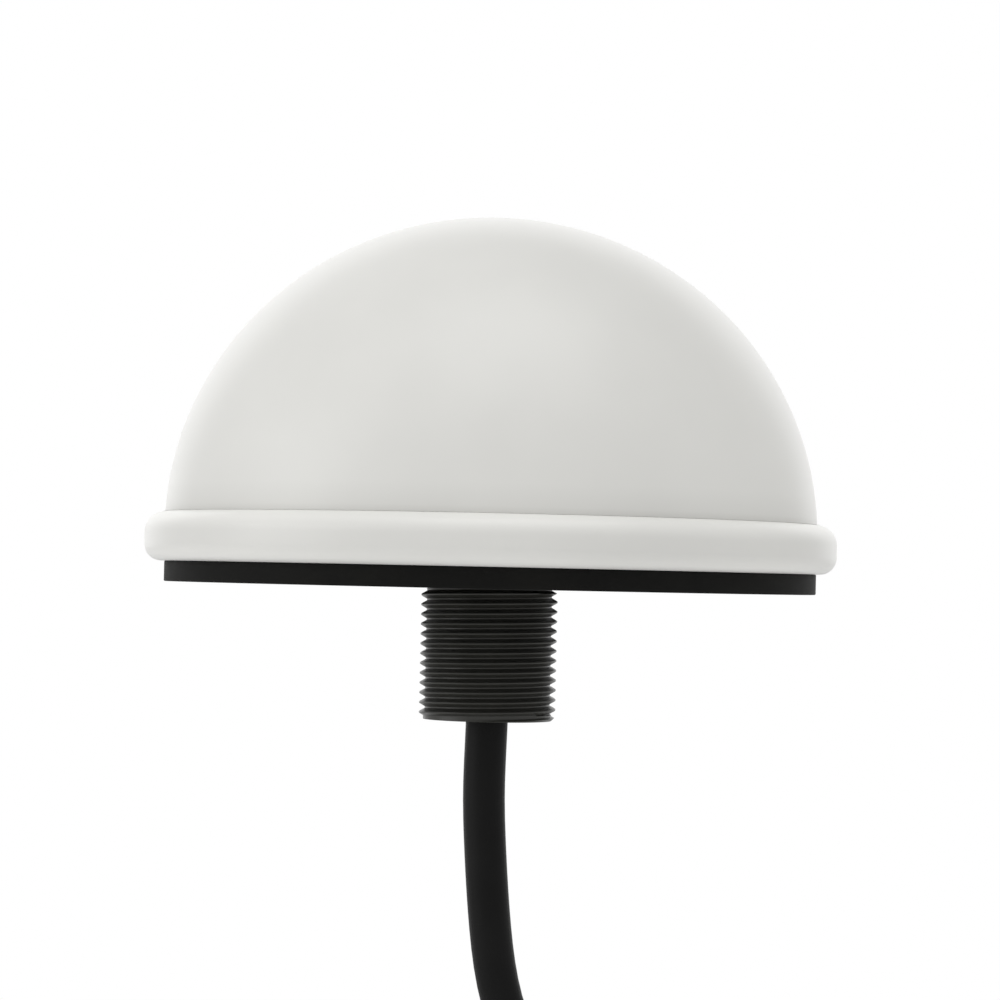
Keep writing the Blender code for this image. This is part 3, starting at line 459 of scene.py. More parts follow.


# Painted light and shade: the rim's rounded edges are palest, its side and dome greyer, the crease darkest.
white = moulded("white_radome", (0.90, 0.896, 0.861), (0.866, 0.862, 0.829), 0.36, 0.00035, 0.000004, 0.035,
                Specular_IOR_Level=0.4, Sheen_Weight=0.22, Sheen_Roughness=0.3)
# Painted highlights on the rim's edges and painted shade in the crease over the rim.
paint_shading_by_height(white, 0.020, [(0.18, 1.0), (0.25, 0.985), (0.34, 0.88), (0.47, 0.88), (0.58, 0.96),
                                (0.638, 0.96), (0.646, 0.77), (0.70, 0.84), (0.90, 0.89)])
radome.data.materials.append(white)
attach(radome, "receiver")
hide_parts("radome")


# ---- Base and stem ----
# Black glass-filled nylon, moulded in one with the hollow stem and its one inch, 14 threads per inch
# thread. The thread is a grid wound round the stem, and the rest is drawn on from its lower end.
THREAD_ROOT = 0.011611
THREAD_DEPTH = 0.001089
THREAD_PITCH = 0.0254 / 14
THREAD_TURN = 0.67
THREAD_TOOTH = [(0.05, 0.0), (0.10, 0.06), (0.17, 0.28), (0.35, 0.80), (0.42, 0.96), (0.50, 1.0),
                (0.58, 0.96), (0.65, 0.80), (0.83, 0.28), (0.90, 0.06), (0.95, 0.0)]
END_RADIUS = 0.011911
END_LAND = 0.0012
STEM_END = -0.0245
STEM_TOP = -0.0003
STEM_BORE = 0.008
HUB_TOP = BASE_TOP + 0.003
HUB_FOOT = 0.0127
BASE_RADIUS = 0.0569
GROOVE_RADIUS = 0.0546
GROOVE_LOW = 0.00485
GROOVE_HIGH = 0.00745
PILLAR_CIRCLE = 0.036
PILLAR_RADIUS = 0.0035
PILLAR_TOP = 0.0144
INSERT_RADIUS = 0.00155
HEAD_RADIUS = 0.0035
HEAD_SEAT = 0.0063


def wound_thread(name, root, depth, pitch, low, high, turn, columns, tooth, end_radius, land=0.0):
    """The skin of a right-hand thread, wound from a grid, left in edit mode with its low ring selected.

    The grid's rows follow the helix, and rows past either end are drawn back onto it, where they merge.
    A tooth is given as (share of the pitch, share of the depth).
    """
    turns = math.ceil((high - low) / pitch) + 3
    rows = turns * len(tooth)
    bpy.ops.object.select_all(action="DESELECT")
    bpy.ops.mesh.primitive_grid_add(x_subdivisions=columns, y_subdivisions=rows - 1, size=1.0)
    piece = bpy.context.object
    piece.name = name
    for vert in piece.data.vertices:
        column = round((vert.co.x + 0.5) * columns)
        row = round((vert.co.y + 0.5) * (rows - 1))
        phase, height = tooth[row % len(tooth)]
        share = column / columns
        z = low + (row // len(tooth) - 2 + phase + share + turn) * pitch
        radius = root + depth * height
        if z - low < land:
            radius = max(radius, end_radius)
        radius = min(radius, end_radius + max(z - low, 0), root + 2 * max(high - z, 0))
        z = min(max(z, low), high)
        vert.co = (radius * math.cos(math.tau * share), radius * math.sin(math.tau * share), z)
    bpy.ops.object.mode_set(mode="EDIT")
    bpy.ops.mesh.select_all(action="SELECT")
    bpy.ops.mesh.remove_doubles(threshold=1e-6)
    bpy.ops.mesh.select_mode(type="EDGE")
    bpy.ops.mesh.select_all(action="DESELECT")
    skin = bmesh.from_edit_mesh(piece.data)
    for edge in skin.edges:
        edge.select = edge.is_boundary and all(vert.co.z < low + 1e-6 for vert in edge.verts)
    bmesh.update_edit_mesh(piece.data)
    return piece


base = wound_thread("base_and_stem", THREAD_ROOT, THREAD_DEPTH, THREAD_PITCH, STEM_END, STEM_TOP, THREAD_TURN,
                    120, THREAD_TOOTH, END_RADIUS, END_LAND)
draw_out(eased([(END_RADIUS, STEM_END, 0), (STEM_BORE, STEM_END, 0.0008), (STEM_BORE, HUB_TOP, 0.0003),
                (THREAD_ROOT, HUB_TOP, 0.0004), (HUB_FOOT, BASE_TOP, 0.0010), (BASE_RADIUS, BASE_TOP, 0.0003),
                (BASE_RADIUS, GROOVE_HIGH, 0), (GROOVE_RADIUS, GROOVE_HIGH, 0.0002),
                (GROOVE_RADIUS, GROOVE_LOW, 0.0002), (BASE_RADIUS, GROOVE_LOW, 0),
                (BASE_RADIUS, BASE_LOW, 0.0003), (THREAD_ROOT, BASE_LOW, 0.0003),
                (THREAD_ROOT, STEM_TOP, 0)], 3))
bpy.ops.mesh.select_mode(type="VERT")
close_up()
settle(base, 30)
pillar_places = [(x, y) for angle, x, y in circle_of(4, PILLAR_CIRCLE)]
pillars = round_bars("pillars", pillar_places, [(PILLAR_RADIUS, BASE_TOP - 0.0004),
                                                (PILLAR_RADIUS, PILLAR_TOP - 0.0003),
                                                (PILLAR_RADIUS - 0.0003, PILLAR_TOP)], 40)
combine(base, pillars, "UNION")
inserts = round_bars("inserts", pillar_places, [(INSERT_RADIUS, BASE_TOP + 0.0009),
                                                (INSERT_RADIUS, PILLAR_TOP + 0.0006)], 24)
combine(base, inserts, "DIFFERENCE")
sinks = round_bars("sinks", screw_places, [(HEAD_RADIUS, BASE_LOW - 0.0007), (HEAD_RADIUS, HEAD_SEAT),
                                           (PILOT_RADIUS, HEAD_SEAT), (PILOT_RADIUS, BASE_TOP + 0.0006)], 32)
combine(base, sinks, "DIFFERENCE")
settle(base, 45)
nylon = moulded("black_nylon", (0.031, 0.031, 0.026), (0.023, 0.023, 0.019), 0.36, 0.00022, 0.000004, 0.012)
base.data.materials.append(nylon)
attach(base, "receiver")
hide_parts("threaded_base")


# ---- Gasket ----
# A flat ring of black closed-cell rubber sheet, die cut, bonded under the base. It is the face that lies
# on the bracket, and it hides the base's screws.
GASKET_RADIUS = 0.0604
GASKET_HOLE = 0.0130
GASKET_TOP = 0.00375
GASKET_EDGE = 0.0002
gasket = turned("gasket_sheet", eased([(GASKET_HOLE, 0.002, 0), (GASKET_HOLE, GASKET_TOP, GASKET_EDGE),
                                       (GASKET_RADIUS, GASKET_TOP, GASKET_EDGE),
                                       (GASKET_RADIUS, 0.0, GASKET_EDGE), (GASKET_HOLE, 0.0, GASKET_EDGE),
                                       (GASKET_HOLE, 0.002, 0)], 3), 160)
gasket.data.materials.append(moulded("gasket_rubber", (0.008, 0.008, 0.007), (0.005, 0.005, 0.0045), 0.7,
                                     0.00025, 0.00001, 0.008, Specular_IOR_Level=0.12))
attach(gasket, "receiver")
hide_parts("mounting_gasket")


# ---- Cable ----
# A round cable in a matt black polyurethane jacket. It hangs out of the stem, bends over onto the stored
# coil, is wound inward and outward through the coil's four layers, and runs on to the connector.
CABLE_RADIUS = 0.0039
DROP_ROUTE = [(0, 0, -0.002), (0, 0, -0.013), (0, 0, -0.0245), (-0.00025, 0, -0.038), (0.00025, 0, -0.049),
              (0.0014, 0, -0.0625), (0.0044, 0.0002, -0.078), (0.0104, 0.0009, -0.090),
              (0.0202, 0.0033, -0.1005), (0.031, 0.008, -0.1068), (0.0422, 0.0158, -0.1097)]
TAIL_ROUTE = [(-0.0579, 0.1079, -0.1414), (-0.0668, 0.1012, -0.1424), (-0.0728, 0.0918, -0.142),
              (-0.0754, 0.081, -0.1403), (-0.076, 0.0715, -0.1394), (-0.076, 0.0654, -0.1394)]
COIL_CENTRE = (0.0, 0.06415)
COIL_OUTER = 0.06415
COIL_INNER = 0.03485
COIL_ROWS = (-0.1178, -0.1257, -0.1336, -0.1415)
ROW_TURNS = 3.615
FIRST_ANGLE = -48.9


def coil_route(steps):
    """The line of the wound cable: a dip onto the top layer, then layer by layer down to the floor."""
    legs = [(0.25, DROP_ROUTE[-1][2], COIL_ROWS[0], COIL_OUTER, COIL_OUTER)]
    radius = COIL_OUTER
    for number, level in enumerate(COIL_ROWS):
        across = COIL_INNER if radius == COIL_OUTER else COIL_OUTER
        legs.append((ROW_TURNS, level, level, radius, across))
        radius = across
        if number + 1 < len(COIL_ROWS):
            legs.append((0.25, level, COIL_ROWS[number + 1], radius, radius))
    angle = FIRST_ANGLE
    route = []
    for length, level, lower, radius, across in legs:
        count = max(2, round(length * steps))
        for step in range(count):
            share = step / count
            eased_share = share * share * (3 - 2 * share)
            turn = math.radians(angle + 360 * length * share)
            reach = radius + (across - radius) * share
            route.append((COIL_CENTRE[0] + reach * math.cos(turn), COIL_CENTRE[1] + reach * math.sin(turn),
                          level + (lower - level) * eased_share))
        angle += 360 * length
    return route


def smooth_line(points, spacing):
    """Evenly spaced points on the smooth curve through a route's own points."""
    knots = np.array(points, dtype=float)
    count = len(knots)
    chord = np.linalg.norm(np.diff(knots, axis=0), axis=1)
    along = np.concatenate(([0.0], np.cumsum(chord)))
    system = np.eye(count)
    rates = np.zeros_like(knots)
    for row in range(1, count - 1):
        before, after = chord[row - 1], chord[row]
        system[row, row - 1:row + 2] = before, 2 * (before + after), after
        rates[row] = 6 * ((knots[row + 1] - knots[row]) / after - (knots[row] - knots[row - 1]) / before)
    bends = np.linalg.solve(system, rates)
    line = []
    for distance in np.linspace(0, along[-1], max(2, round(along[-1] / spacing)) + 1):
        row = min(int(np.searchsorted(along, distance, side="right")) - 1, count - 2)
        span = chord[row]
        right = (distance - along[row]) / span
        left = 1 - right
        sway = ((left ** 3 - left) * bends[row] + (right ** 3 - right) * bends[row + 1]) * span ** 2 / 6
        line.append(left * knots[row] + right * knots[row + 1] + sway)
    return np.array(line)


def jacket_along(name, line, radius, sides):
    """A closed tube along a line, with a map of metres round and along it."""
    forward = np.gradient(line, axis=0)
    forward /= np.linalg.norm(forward, axis=1)[:, None]
    side = np.cross(forward[0], (0.0, 1.0, 0.0))
    side /= np.linalg.norm(side)
    mesh = bmesh.new()
    rings = []
    travelled = [0.0]
    for index, point in enumerate(line):
        side = side - forward[index] * side.dot(forward[index])
        side /= np.linalg.norm(side)
        up = np.cross(forward[index], side)
        turn = np.arange(sides) * math.tau / sides
        loop = point + radius * (np.outer(np.cos(turn), side) + np.outer(np.sin(turn), up))
        rings.append([mesh.verts.new(corner) for corner in loop])
        if index:
            travelled.append(travelled[-1] + float(np.linalg.norm(point - line[index - 1])))
    layer = mesh.loops.layers.uv.new("along")
    for index, (ring, following) in enumerate(zip(rings, rings[1:])):
        for number in range(sides):
            after = (number + 1) % sides
            face = mesh.faces.new((ring[number], ring[after], following[after], following[number]))
            face.smooth = True
            corners = ((number, index), (number + 1, index), (number + 1, index + 1), (number, index + 1))
            for loop, (round_number, along_number) in zip(face.loops, corners):
                loop[layer].uv = (round_number / sides * math.tau * radius, travelled[along_number])
    for ring, point in ((rings[0], line[0]), (rings[-1], line[-1])):
        middle = mesh.verts.new(point)
        for number in range(sides):
            mesh.faces.new((ring[number], ring[(number + 1) % sides], middle))
    bmesh.ops.recalc_face_normals(mesh, faces=mesh.faces)
    data = bpy.data.meshes.new(name)
    mesh.to_mesh(data)
    mesh.free()
    piece = bpy.data.objects.new(name, data)
    bpy.context.scene.collection.objects.link(piece)
    return piece


cable_line = smooth_line(DROP_ROUTE[:-1] + coil_route(24) + TAIL_ROUTE, 0.0034)
cable = jacket_along("cable", cable_line, CABLE_RADIUS, 24)


def make_jacket():
    """Extruded cable jacket: faint die lines along it over a soft grain."""
    material, tree, shader = shader_of("cable_jacket", 0.5, Specular_IOR_Level=0.14)
    along = node_of(tree, "UVMap")
    along.uv_map = "along"
    stretch = node_of(tree, "Mapping", Scale=(3200.0, 28.0, 1.0))
    lines = node_of(tree, "TexNoise", Scale=1.0, Detail=2.0)
    texture = add_grain(tree, 0.00025, 0.012)
    tree.links.new(along.outputs["UV"], stretch.inputs["Vector"])
    tree.links.new(stretch.outputs["Vector"], lines.inputs["Vector"])
    shade = add_shades(tree, texture.outputs["Patches"], (0.0045, 0.0045, 0.0044), (0.007, 0.007, 0.0068),
                       0.3, 0.7)
    tree.links.new(shade, shader.inputs["Base Color"])
    add_bump(tree, shader, calc(tree, "ADD", lines.outputs["Fac"], texture.outputs["Height"]), 0.000015)
    return material


cable.data.materials.append(make_jacket())
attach(cable, "receiver")
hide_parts("cable_drop", "cable_coil", "cable_tail")


# ---- Coil ties ----
# Two straps of black hook-and-loop tape round the stored coil. Each is one strip that goes once round the
# coil's section and overlaps itself on the outside, where the hooks hold.
TIE_WIDTH = 0.012
TIE_THICKNESS = 0.0009
TIE_OVERLAP = 0.015
TIE_GAP = 0.0001
FIRST_SWING = -50
SWING_STEP = 5


def strap_line(angle):
    """A taut line round the coil's section at an angle, as (distance from the coil's centre, height)."""
    middle = Vector((*COIL_CENTRE, 0))
    out = Vector((math.cos(angle), math.sin(angle), 0))
    side = Vector((-out.y, out.x, 0))
    turns = []
    points = [Vector(point) for point in cable_line]
    for start, end in zip(points, points[1:]):
        before, after = (start - middle).dot(side), (end - middle).dot(side)
        if before * after < 0:
            cut = start.lerp(end, before / (before - after)) - middle
            if cut.dot(out) > 0:
                turns.append((cut.dot(out), cut.z))
    reach = CABLE_RADIUS + TIE_GAP + TIE_THICKNESS / 2
    hull = []
    for step in range(360 // SWING_STEP + 1):
        swing = math.radians(SWING_STEP * step + FIRST_SWING)
        across, up = math.cos(swing), math.sin(swing)
        far, high = max(turns, key=lambda turn: turn[0] * across + turn[1] * up)
        hull.append(Vector((far + reach * across, high + reach * up)))
    edges = [(begin, finish) for begin, finish in zip(hull, hull[1:]) if (finish - begin).length > 1e-6]
    girth = sum((finish - begin).length for begin, finish in edges)
    count = round((girth + TIE_OVERLAP) / 0.001)
    line = []
    for step in range(count + 1):
        run = (girth + TIE_OVERLAP) * step / count
        lap = run - girth
        rest = run % girth
        for begin, finish in edges:
            if rest <= (finish - begin).length:
                break
            rest -= (finish - begin).length
        ahead = (finish - begin).normalized()
        lift = TIE_THICKNESS * 1.1 * min(1.0, max(0.0, (lap + 0.0025) / 0.0035))
        lift += 0.0003 * max(0.0, (lap - TIE_OVERLAP + 0.003) / 0.003)
        line.append(tuple(begin + ahead * rest + Vector((ahead.y, -ahead.x)) * lift))
    return line


def make_tape():
    """Hook-and-loop tape: woven ribs across it under a short, soft pile."""
    material, tree, shader = shader_of("tie_tape", 0.85, Specular_IOR_Level=0.2, Sheen_Weight=0.2,
                                       Sheen_Roughness=0.6)
    across = node_of(tree, "UVMap")
    ribs = node_of(tree, "TexWave", Scale=480.0, Distortion=1.2, Detail=2.0, Detail_Scale=3.0)
    pile = node_of(tree, "TexNoise", Scale=2600.0, Detail=3.0)
    tree.links.new(across.outputs["UV"], ribs.inputs["Vector"])
    tree.links.new(across.outputs["UV"], pile.inputs["Vector"])
    both = calc(tree, "ADD", ribs.outputs["Fac"], pile.outputs["Fac"])
    half = calc(tree, "MULTIPLY", both, 0.5)
    shade = add_shades(tree, half, (0.006, 0.006, 0.0065), (0.028, 0.028, 0.030), 0.4, 0.7)
    tree.links.new(shade, shader.inputs["Base Color"])
    add_bump(tree, shader, both, 0.00012)
    return material


tape = make_tape()
for number, angle in enumerate((70, 235), 1):
    line = strap_line(math.radians(angle))
    along = [0.0]
    for start, end in zip(line, line[1:]):
        along.append(along[-1] + math.dist(start, end))
    bpy.ops.object.select_all(action="DESELECT")
    bpy.ops.mesh.primitive_grid_add(x_subdivisions=len(line) - 1, y_subdivisions=8, size=1.0)
    tie = bpy.context.object
    tie.name = f"hook_and_loop_tie_{number}"
    for corner in tie.data.loops:
        vert = tie.data.vertices[corner.vertex_index]
        column = round((vert.co.x + 0.5) * (len(line) - 1))
        tie.data.uv_layers[0].data[corner.index].uv = (along[column], vert.co.y * TIE_WIDTH)
    for vert in tie.data.vertices:
        reach, height = line[round((vert.co.x + 0.5) * (len(line) - 1))]
        vert.co = (reach, vert.co.y * TIE_WIDTH, height)
    tie.rotation_euler.z = math.radians(angle)
    tie.location = (*COIL_CENTRE, 0)
    thick = tie.modifiers.new("thickness", "SOLIDIFY")
    thick.thickness = TIE_THICKNESS
    thick.offset = 0.0
    soft = tie.modifiers.new("soft_edges", "BEVEL")
    soft.width = 0.00025
    soft.segments = 2
    for name in ("thickness", "soft_edges"):
        bpy.ops.object.modifier_apply(modifier=name)
    settle(tie, 50)
    tie.data.materials.append(tape)
    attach(tie, "receiver")
    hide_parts(f"coil_tie_{number}")


# ---- Connector: bend relief and grip ----
# Soft black overmoulding. The relief is a ringed taper that keeps the cable from kinking, and the grip
# widens from it, with shallow flutes and three finger grooves. Both are turned about the connector's line.
PLUG_END = (-0.076, 0.068, -0.1394)
RELIEF_END = 0.022
CORE = 0.0006
RING_COUNT = 4
FIRST_RING = 0.0022
RING_PITCH = 0.0044
RING_GROWTH = 0.00024
GRIP_START = 0.0223
GRIP_END = 0.0463
GRIP_RADIUS = 0.0070
FIRST_GROOVE = 0.0306
GROOVE_PITCH = 0.0032
GROOVE_DEPTH = 0.0006
GRIP_FLUTES = 12
GRIP_FLUTE_DEPTH = 0.00035


def lay_down(piece, angle=35):
    """Lays a piece made upright along the connector's line, its cable end first."""
    piece.rotation_euler.x = math.pi / 2
    piece.location = PLUG_END
    settle(piece, angle)


outline = [(CORE, 0.003, 0), (0.00396, 0.003, 0), (0.00396, 0.0, 0.0001), (0.0050, 0.0, 0.0004)]
for ring in range(RING_COUNT):
    wide = 0.0051 + RING_GROWTH * (ring + 1)
    start = FIRST_RING + RING_PITCH * ring
    outline += [(wide - 0.0003, start, 0.0004), (wide + 0.0001, start + 0.0026, 0.0005),
                (wide - 0.0008, start + 0.0030, 0.0003), (wide - 0.0008, start + 0.0042, 0.0003)]
outline += [(0.0061, 0.0196, 0.0004), (0.0061, RELIEF_END, 0.0003), (CORE, RELIEF_END, 0)]
relief = turned("bend_relief", eased(outline, 3), 64, 35)
lay_down(relief)

outline = [(CORE, GRIP_START, 0), (0.0058, GRIP_START, 0.0003), (0.0063, 0.0252, 0.0015),
           (GRIP_RADIUS, 0.0275, 0.0015)]
for groove in range(3):
    start = FIRST_GROOVE + GROOVE_PITCH * groove
    outline += [(GRIP_RADIUS, start, 0.0003), (GRIP_RADIUS - GROOVE_DEPTH, start + 0.0005, 0.0003),
                (GRIP_RADIUS - GROOVE_DEPTH, start + 0.0012, 0.0003), (GRIP_RADIUS, start + 0.0017, 0.0003)]
outline += [(GRIP_RADIUS, GRIP_END, 0.0008), (CORE, GRIP_END, 0)]
grip = turned("plug_grip", eased(outline, 3), 144, 35)
for vert in grip.data.vertices:
    reach = math.hypot(vert.co.x, vert.co.y)
    fade = min(1.0, max(0.0, (vert.co.z - 0.0262) / 0.0025), max(0.0, (0.0445 - vert.co.z) / 0.0015))
    flute = max(0.0, math.cos(math.atan2(vert.co.y, vert.co.x) * GRIP_FLUTES)) ** 3
    if reach > 0.006:
        scale = 1.0 - GRIP_FLUTE_DEPTH * flute * fade / reach
        vert.co.x *= scale
        vert.co.y *= scale
lay_down(grip)
overmould = moulded("plug_overmould", (0.022, 0.022, 0.021), (0.016, 0.016, 0.0155), 0.5, 0.00018, 0.000012,
                    0.006, Specular_IOR_Level=0.35)
for piece, node in ((relief, "plug_bend_relief"), (grip, "plug_body")):
    piece.data.materials.append(overmould)
    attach(piece, "receiver")
    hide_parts(node)


# ---- Connector: pin carrier and pins ----
# A black moulded carrier with a hub for the coupling ring, a thin shroud with its key, and five turned and
# gold-plated pins pressed into its floor.
CARRIER_START = 0.0466
CARRIER_FLOOR = 0.0567
CARRIER_END = 0.0622
HUB_RADIUS = 0.0044
SHROUD_RADIUS = 0.0049
SHROUD_BORE = 0.0041
PIN_RADIUS = 0.0005
PIN_PLACES = [(0.0, 0.0)] + [(x, y) for angle, x, y in circle_of(4, 0.0026, 45)]
carrier = turned("pin_carrier", eased([(0.0005, CARRIER_START, 0), (HUB_RADIUS, CARRIER_START, 0.0002),
                                       (HUB_RADIUS, 0.0564, 0.0001), (SHROUD_RADIUS, 0.0564, 0.0001),
                                       (SHROUD_RADIUS, CARRIER_END, 0.0002),
                                       (SHROUD_BORE, CARRIER_END, 0.0002),
                                       (SHROUD_BORE, CARRIER_FLOOR, 0.0001), (0.0005, CARRIER_FLOOR, 0)], 3),
                 96, 30)
key = block("key", (0, 0.00385, 0.0594), (0.0012, 0.0010, 0.0054))
combine(carrier, key, "UNION")
sockets = round_bars("sockets", PIN_PLACES, [(PIN_RADIUS + 0.00008, 0.0540),
                                             (PIN_RADIUS + 0.00008, CARRIER_FLOOR + 0.0005)], 24)
combine(carrier, sockets, "DIFFERENCE")
lay_down(carrier, 30)
carrier.data.materials.append(moulded("carrier_black", (0.030, 0.030, 0.030), (0.024, 0.024, 0.024), 0.38,
                                      0.0002, 0.000004, 0.006))
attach(carrier, "receiver")
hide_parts("plug_insert")


def make_lathe_marks():
    """Turned or rolled metal: fine drifting marks that vary its gloss."""
    group = bpy.data.node_groups.new("lathe_marks", "ShaderNodeTree")
    face = group.interface
    face.new_socket("Mark Size", in_out="INPUT", socket_type="NodeSocketFloat").default_value = 0.0002
    face.new_socket("Stretch", in_out="INPUT", socket_type="NodeSocketVector").default_value = (1, 1, 8)
    face.new_socket("Marks", in_out="OUTPUT", socket_type="NodeSocketFloat")
    start = group.nodes.new("NodeGroupInput")
    end = group.nodes.new("NodeGroupOutput")
    place = node_of(group, "TexCoord")
    pull = node_of(group, "VectorMath")
    pull.operation = "MULTIPLY"
    noise = node_of(group, "TexNoise", Detail=4.0, Roughness=0.65)
    group.links.new(place.outputs["Object"], pull.inputs[0])
    group.links.new(start.outputs["Stretch"], pull.inputs[1])
    group.links.new(pull.outputs["Vector"], noise.inputs["Vector"])
    group.links.new(calc(group, "DIVIDE", 1.0, start.outputs["Mark Size"]), noise.inputs["Scale"])
    group.links.new(noise.outputs["Fac"], end.inputs["Marks"])
    return group


lathe_marks = make_lathe_marks()


def metal(name, light, dark, roughness, mark_size, stretch=(1.0, 1.0, 1.0), depth=0.000002):
    """Bare or plated metal whose colour, gloss and surface follow fine marks."""
    material, tree, shader = shader_of(name, roughness, Metallic=1.0)
    texture = node_of(tree, "Group")
    texture.node_tree = lathe_marks
    texture.inputs["Mark Size"].default_value = mark_size
    texture.inputs["Stretch"].default_value = stretch
    marks = texture.outputs["Marks"]
    tree.links.new(add_shades(tree, marks, dark, light, 0.3, 0.7), shader.inputs["Base Color"])
    add_gloss(tree, shader, marks, roughness * 0.7, roughness * 1.4)
    add_bump(tree, shader, marks, depth)
    return material


gold = metal("pin_gold", (0.86, 0.62, 0.26), (0.74, 0.52, 0.20), 0.2, 0.0003)
for number, (x, y) in enumerate(PIN_PLACES, 1):
    outline = [(0.0001, 0.0543, 0), (PIN_RADIUS, 0.0543, 0.0001), (PIN_RADIUS, 0.0613, 0.00035),
               (0.0001, 0.0613, 0)]
    pin = turned(f"contact_pin_{number}", eased(outline, 5), 32, 30)
    pin.location = (x, y, 0)
    settle(pin)
    lay_down(pin, 30)
    pin.data.materials.append(gold)
    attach(pin, "receiver")
    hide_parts(f"plug_pin_{number}")


# ---- Connector: coupling ring ----
# Nickel-plated brass, turned, with rounded grip flutes and a 12 mm thread on its nose. It turns on the
# carrier's hub, so it rides on its own body.
NOSE_RADIUS = 0.00545
NOSE_START = 0.0567
NOSE_END = 0.0615
NOSE_TIP = 0.0621
NOSE_BORE = 0.0052
NOSE_PITCH = 0.001
NOSE_DEPTH = 0.00055
NOSE_TOOTH = [(0.10, 0.0), (0.42, 0.9), (0.50, 1.0), (0.58, 0.9), (0.90, 0.0)]
RING_RADIUS = 0.0073
RING_BORE = 0.0047
RING_START = 0.0469
RING_END = 0.0561
RING_FLUTES = 16
RING_FLUTE_DEPTH = 0.0005
nose = wound_thread("coupling_screw", NOSE_RADIUS, NOSE_DEPTH, NOSE_PITCH, NOSE_START, NOSE_END, 0.2, 96,
                    NOSE_TOOTH, NOSE_RADIUS)
draw_out(eased([(NOSE_RADIUS, NOSE_START, 0), (NOSE_RADIUS, RING_END, 0.0001),
                (RING_RADIUS, RING_END, 0.0006), (RING_RADIUS, RING_START, 0.0006),
                (RING_BORE, RING_START, 0.0002), (RING_BORE, RING_END, 0.0001),
                (NOSE_BORE, RING_END, 0.0001), (NOSE_BORE, NOSE_TIP, 0.0002),
                (NOSE_RADIUS, NOSE_TIP, 0.0002), (NOSE_RADIUS, NOSE_END, 0)], 3))
bpy.ops.mesh.select_mode(type="VERT")
close_up()
settle(nose, 30)
for vert in nose.data.vertices:
    reach = math.hypot(vert.co.x, vert.co.y)
    if reach > 0.0064 and vert.co.z < 0.0562:
        crest = 0.5 + 0.5 * math.cos(math.atan2(vert.co.y, vert.co.x) * RING_FLUTES)
        scale = 1.0 - RING_FLUTE_DEPTH * (1.0 - crest) ** 2 / reach
        vert.co.x *= scale
        vert.co.y *= scale
lay_down(nose, 30)
nose.data.materials.append(metal("coupling_nickel", (0.67, 0.65, 0.61), (0.60, 0.585, 0.55), 0.26, 0.0003,
                                 (1.0, 7.0, 1.0), 0.0000004))
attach(nose, "coupling_ring")
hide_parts("coupling_ring")


# ---- Circuit boards ----
# Glass-epoxy boards under green lacquer, with paler copper tracks and tinned through-holes. The receiver's
# board stands on the base's pillars, under the aerial's, and carries the chips, the cell and the sockets.
def make_board():
    """Green lacquer with paler tracks, tinned holes and a faint glass weave."""
    material, tree, shader = shader_of("green_board", 0.35, Specular_IOR_Level=0.5)
    place = node_of(tree, "TexCoord")
    tracks = node_of(tree, "TexBrick", Scale=300.0, Mortar_Size=0.035, Brick_Width=1.9, Row_Height=0.27,
                     Color1=(0.010, 0.080, 0.030, 1.0), Color2=(0.012, 0.095, 0.036, 1.0),
                     Mortar=(0.022, 0.170, 0.060, 1.0))
    holes = node_of(tree, "TexVoronoi", Scale=260.0)
    weave = node_of(tree, "TexChecker", Scale=1900.0)
    cover = node_of(tree, "Mix")
    cover.data_type = "RGBA"
    cover.inputs["B"].default_value = (0.62, 0.61, 0.57, 1.0)
    tree.links.new(place.outputs["Object"], tracks.inputs["Vector"])
    tree.links.new(place.outputs["Object"], holes.inputs["Vector"])
    tree.links.new(place.outputs["Object"], weave.inputs["Vector"])
    tinned = calc(tree, "LESS_THAN", holes.outputs["Distance"], 0.09)
    tree.links.new(tinned, cover.inputs["Factor"])
    tree.links.new(tracks.outputs["Color"], cover.inputs["A"])
    tree.links.new(cover.outputs["Result"], shader.inputs["Base Color"])
    tree.links.new(tinned, shader.inputs["Metallic"])
    add_bump(tree, shader, weave.outputs["Fac"], 0.000012)
    return material


def dress(finish, *names):
    """Gives nodes of the frame that keep their shape a finish."""
    for name in names:
        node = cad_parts[name]
        node.data.materials.clear()
        node.data.materials.append(finish)


dress(make_board(), "receiver_board", "antenna_board")
dress(metal("tinned_shield", (0.70, 0.70, 0.69), (0.58, 0.58, 0.57), 0.34, 0.0006, (1.0, 9.0, 1.0)),
      "receiver_shield", "lna_shield")
dress(moulded("chip_epoxy", (0.030, 0.030, 0.031), (0.020, 0.020, 0.021), 0.62, 0.00012, 0.000008, 0.004),
      "processor_chip")
dress(moulded("ferrite_grey", (0.085, 0.083, 0.082), (0.055, 0.054, 0.053), 0.7, 0.00015, 0.000015, 0.003),
      "power_inductor")
dress(metal("drawn_aluminium", (0.80, 0.80, 0.81), (0.68, 0.68, 0.69), 0.3, 0.0004, (1.0, 1.0, 0.15)),
      "smoothing_capacitor")
dress(metal("cell_steel", (0.66, 0.65, 0.63), (0.56, 0.55, 0.53), 0.26, 0.0005, (1.0, 7.0, 1.0)),
      "backup_cell")
dress(moulded("holder_nylon", (0.036, 0.036, 0.038), (0.026, 0.026, 0.028), 0.5, 0.0002, 0.000006, 0.006),
      "cell_holder")
dress(moulded("natural_nylon", (0.70, 0.66, 0.55), (0.62, 0.58, 0.48), 0.45, 0.0002, 0.000005, 0.005,
              Subsurface_Weight=0.1, Subsurface_Scale=0.001), "board_socket", "wire_plug")
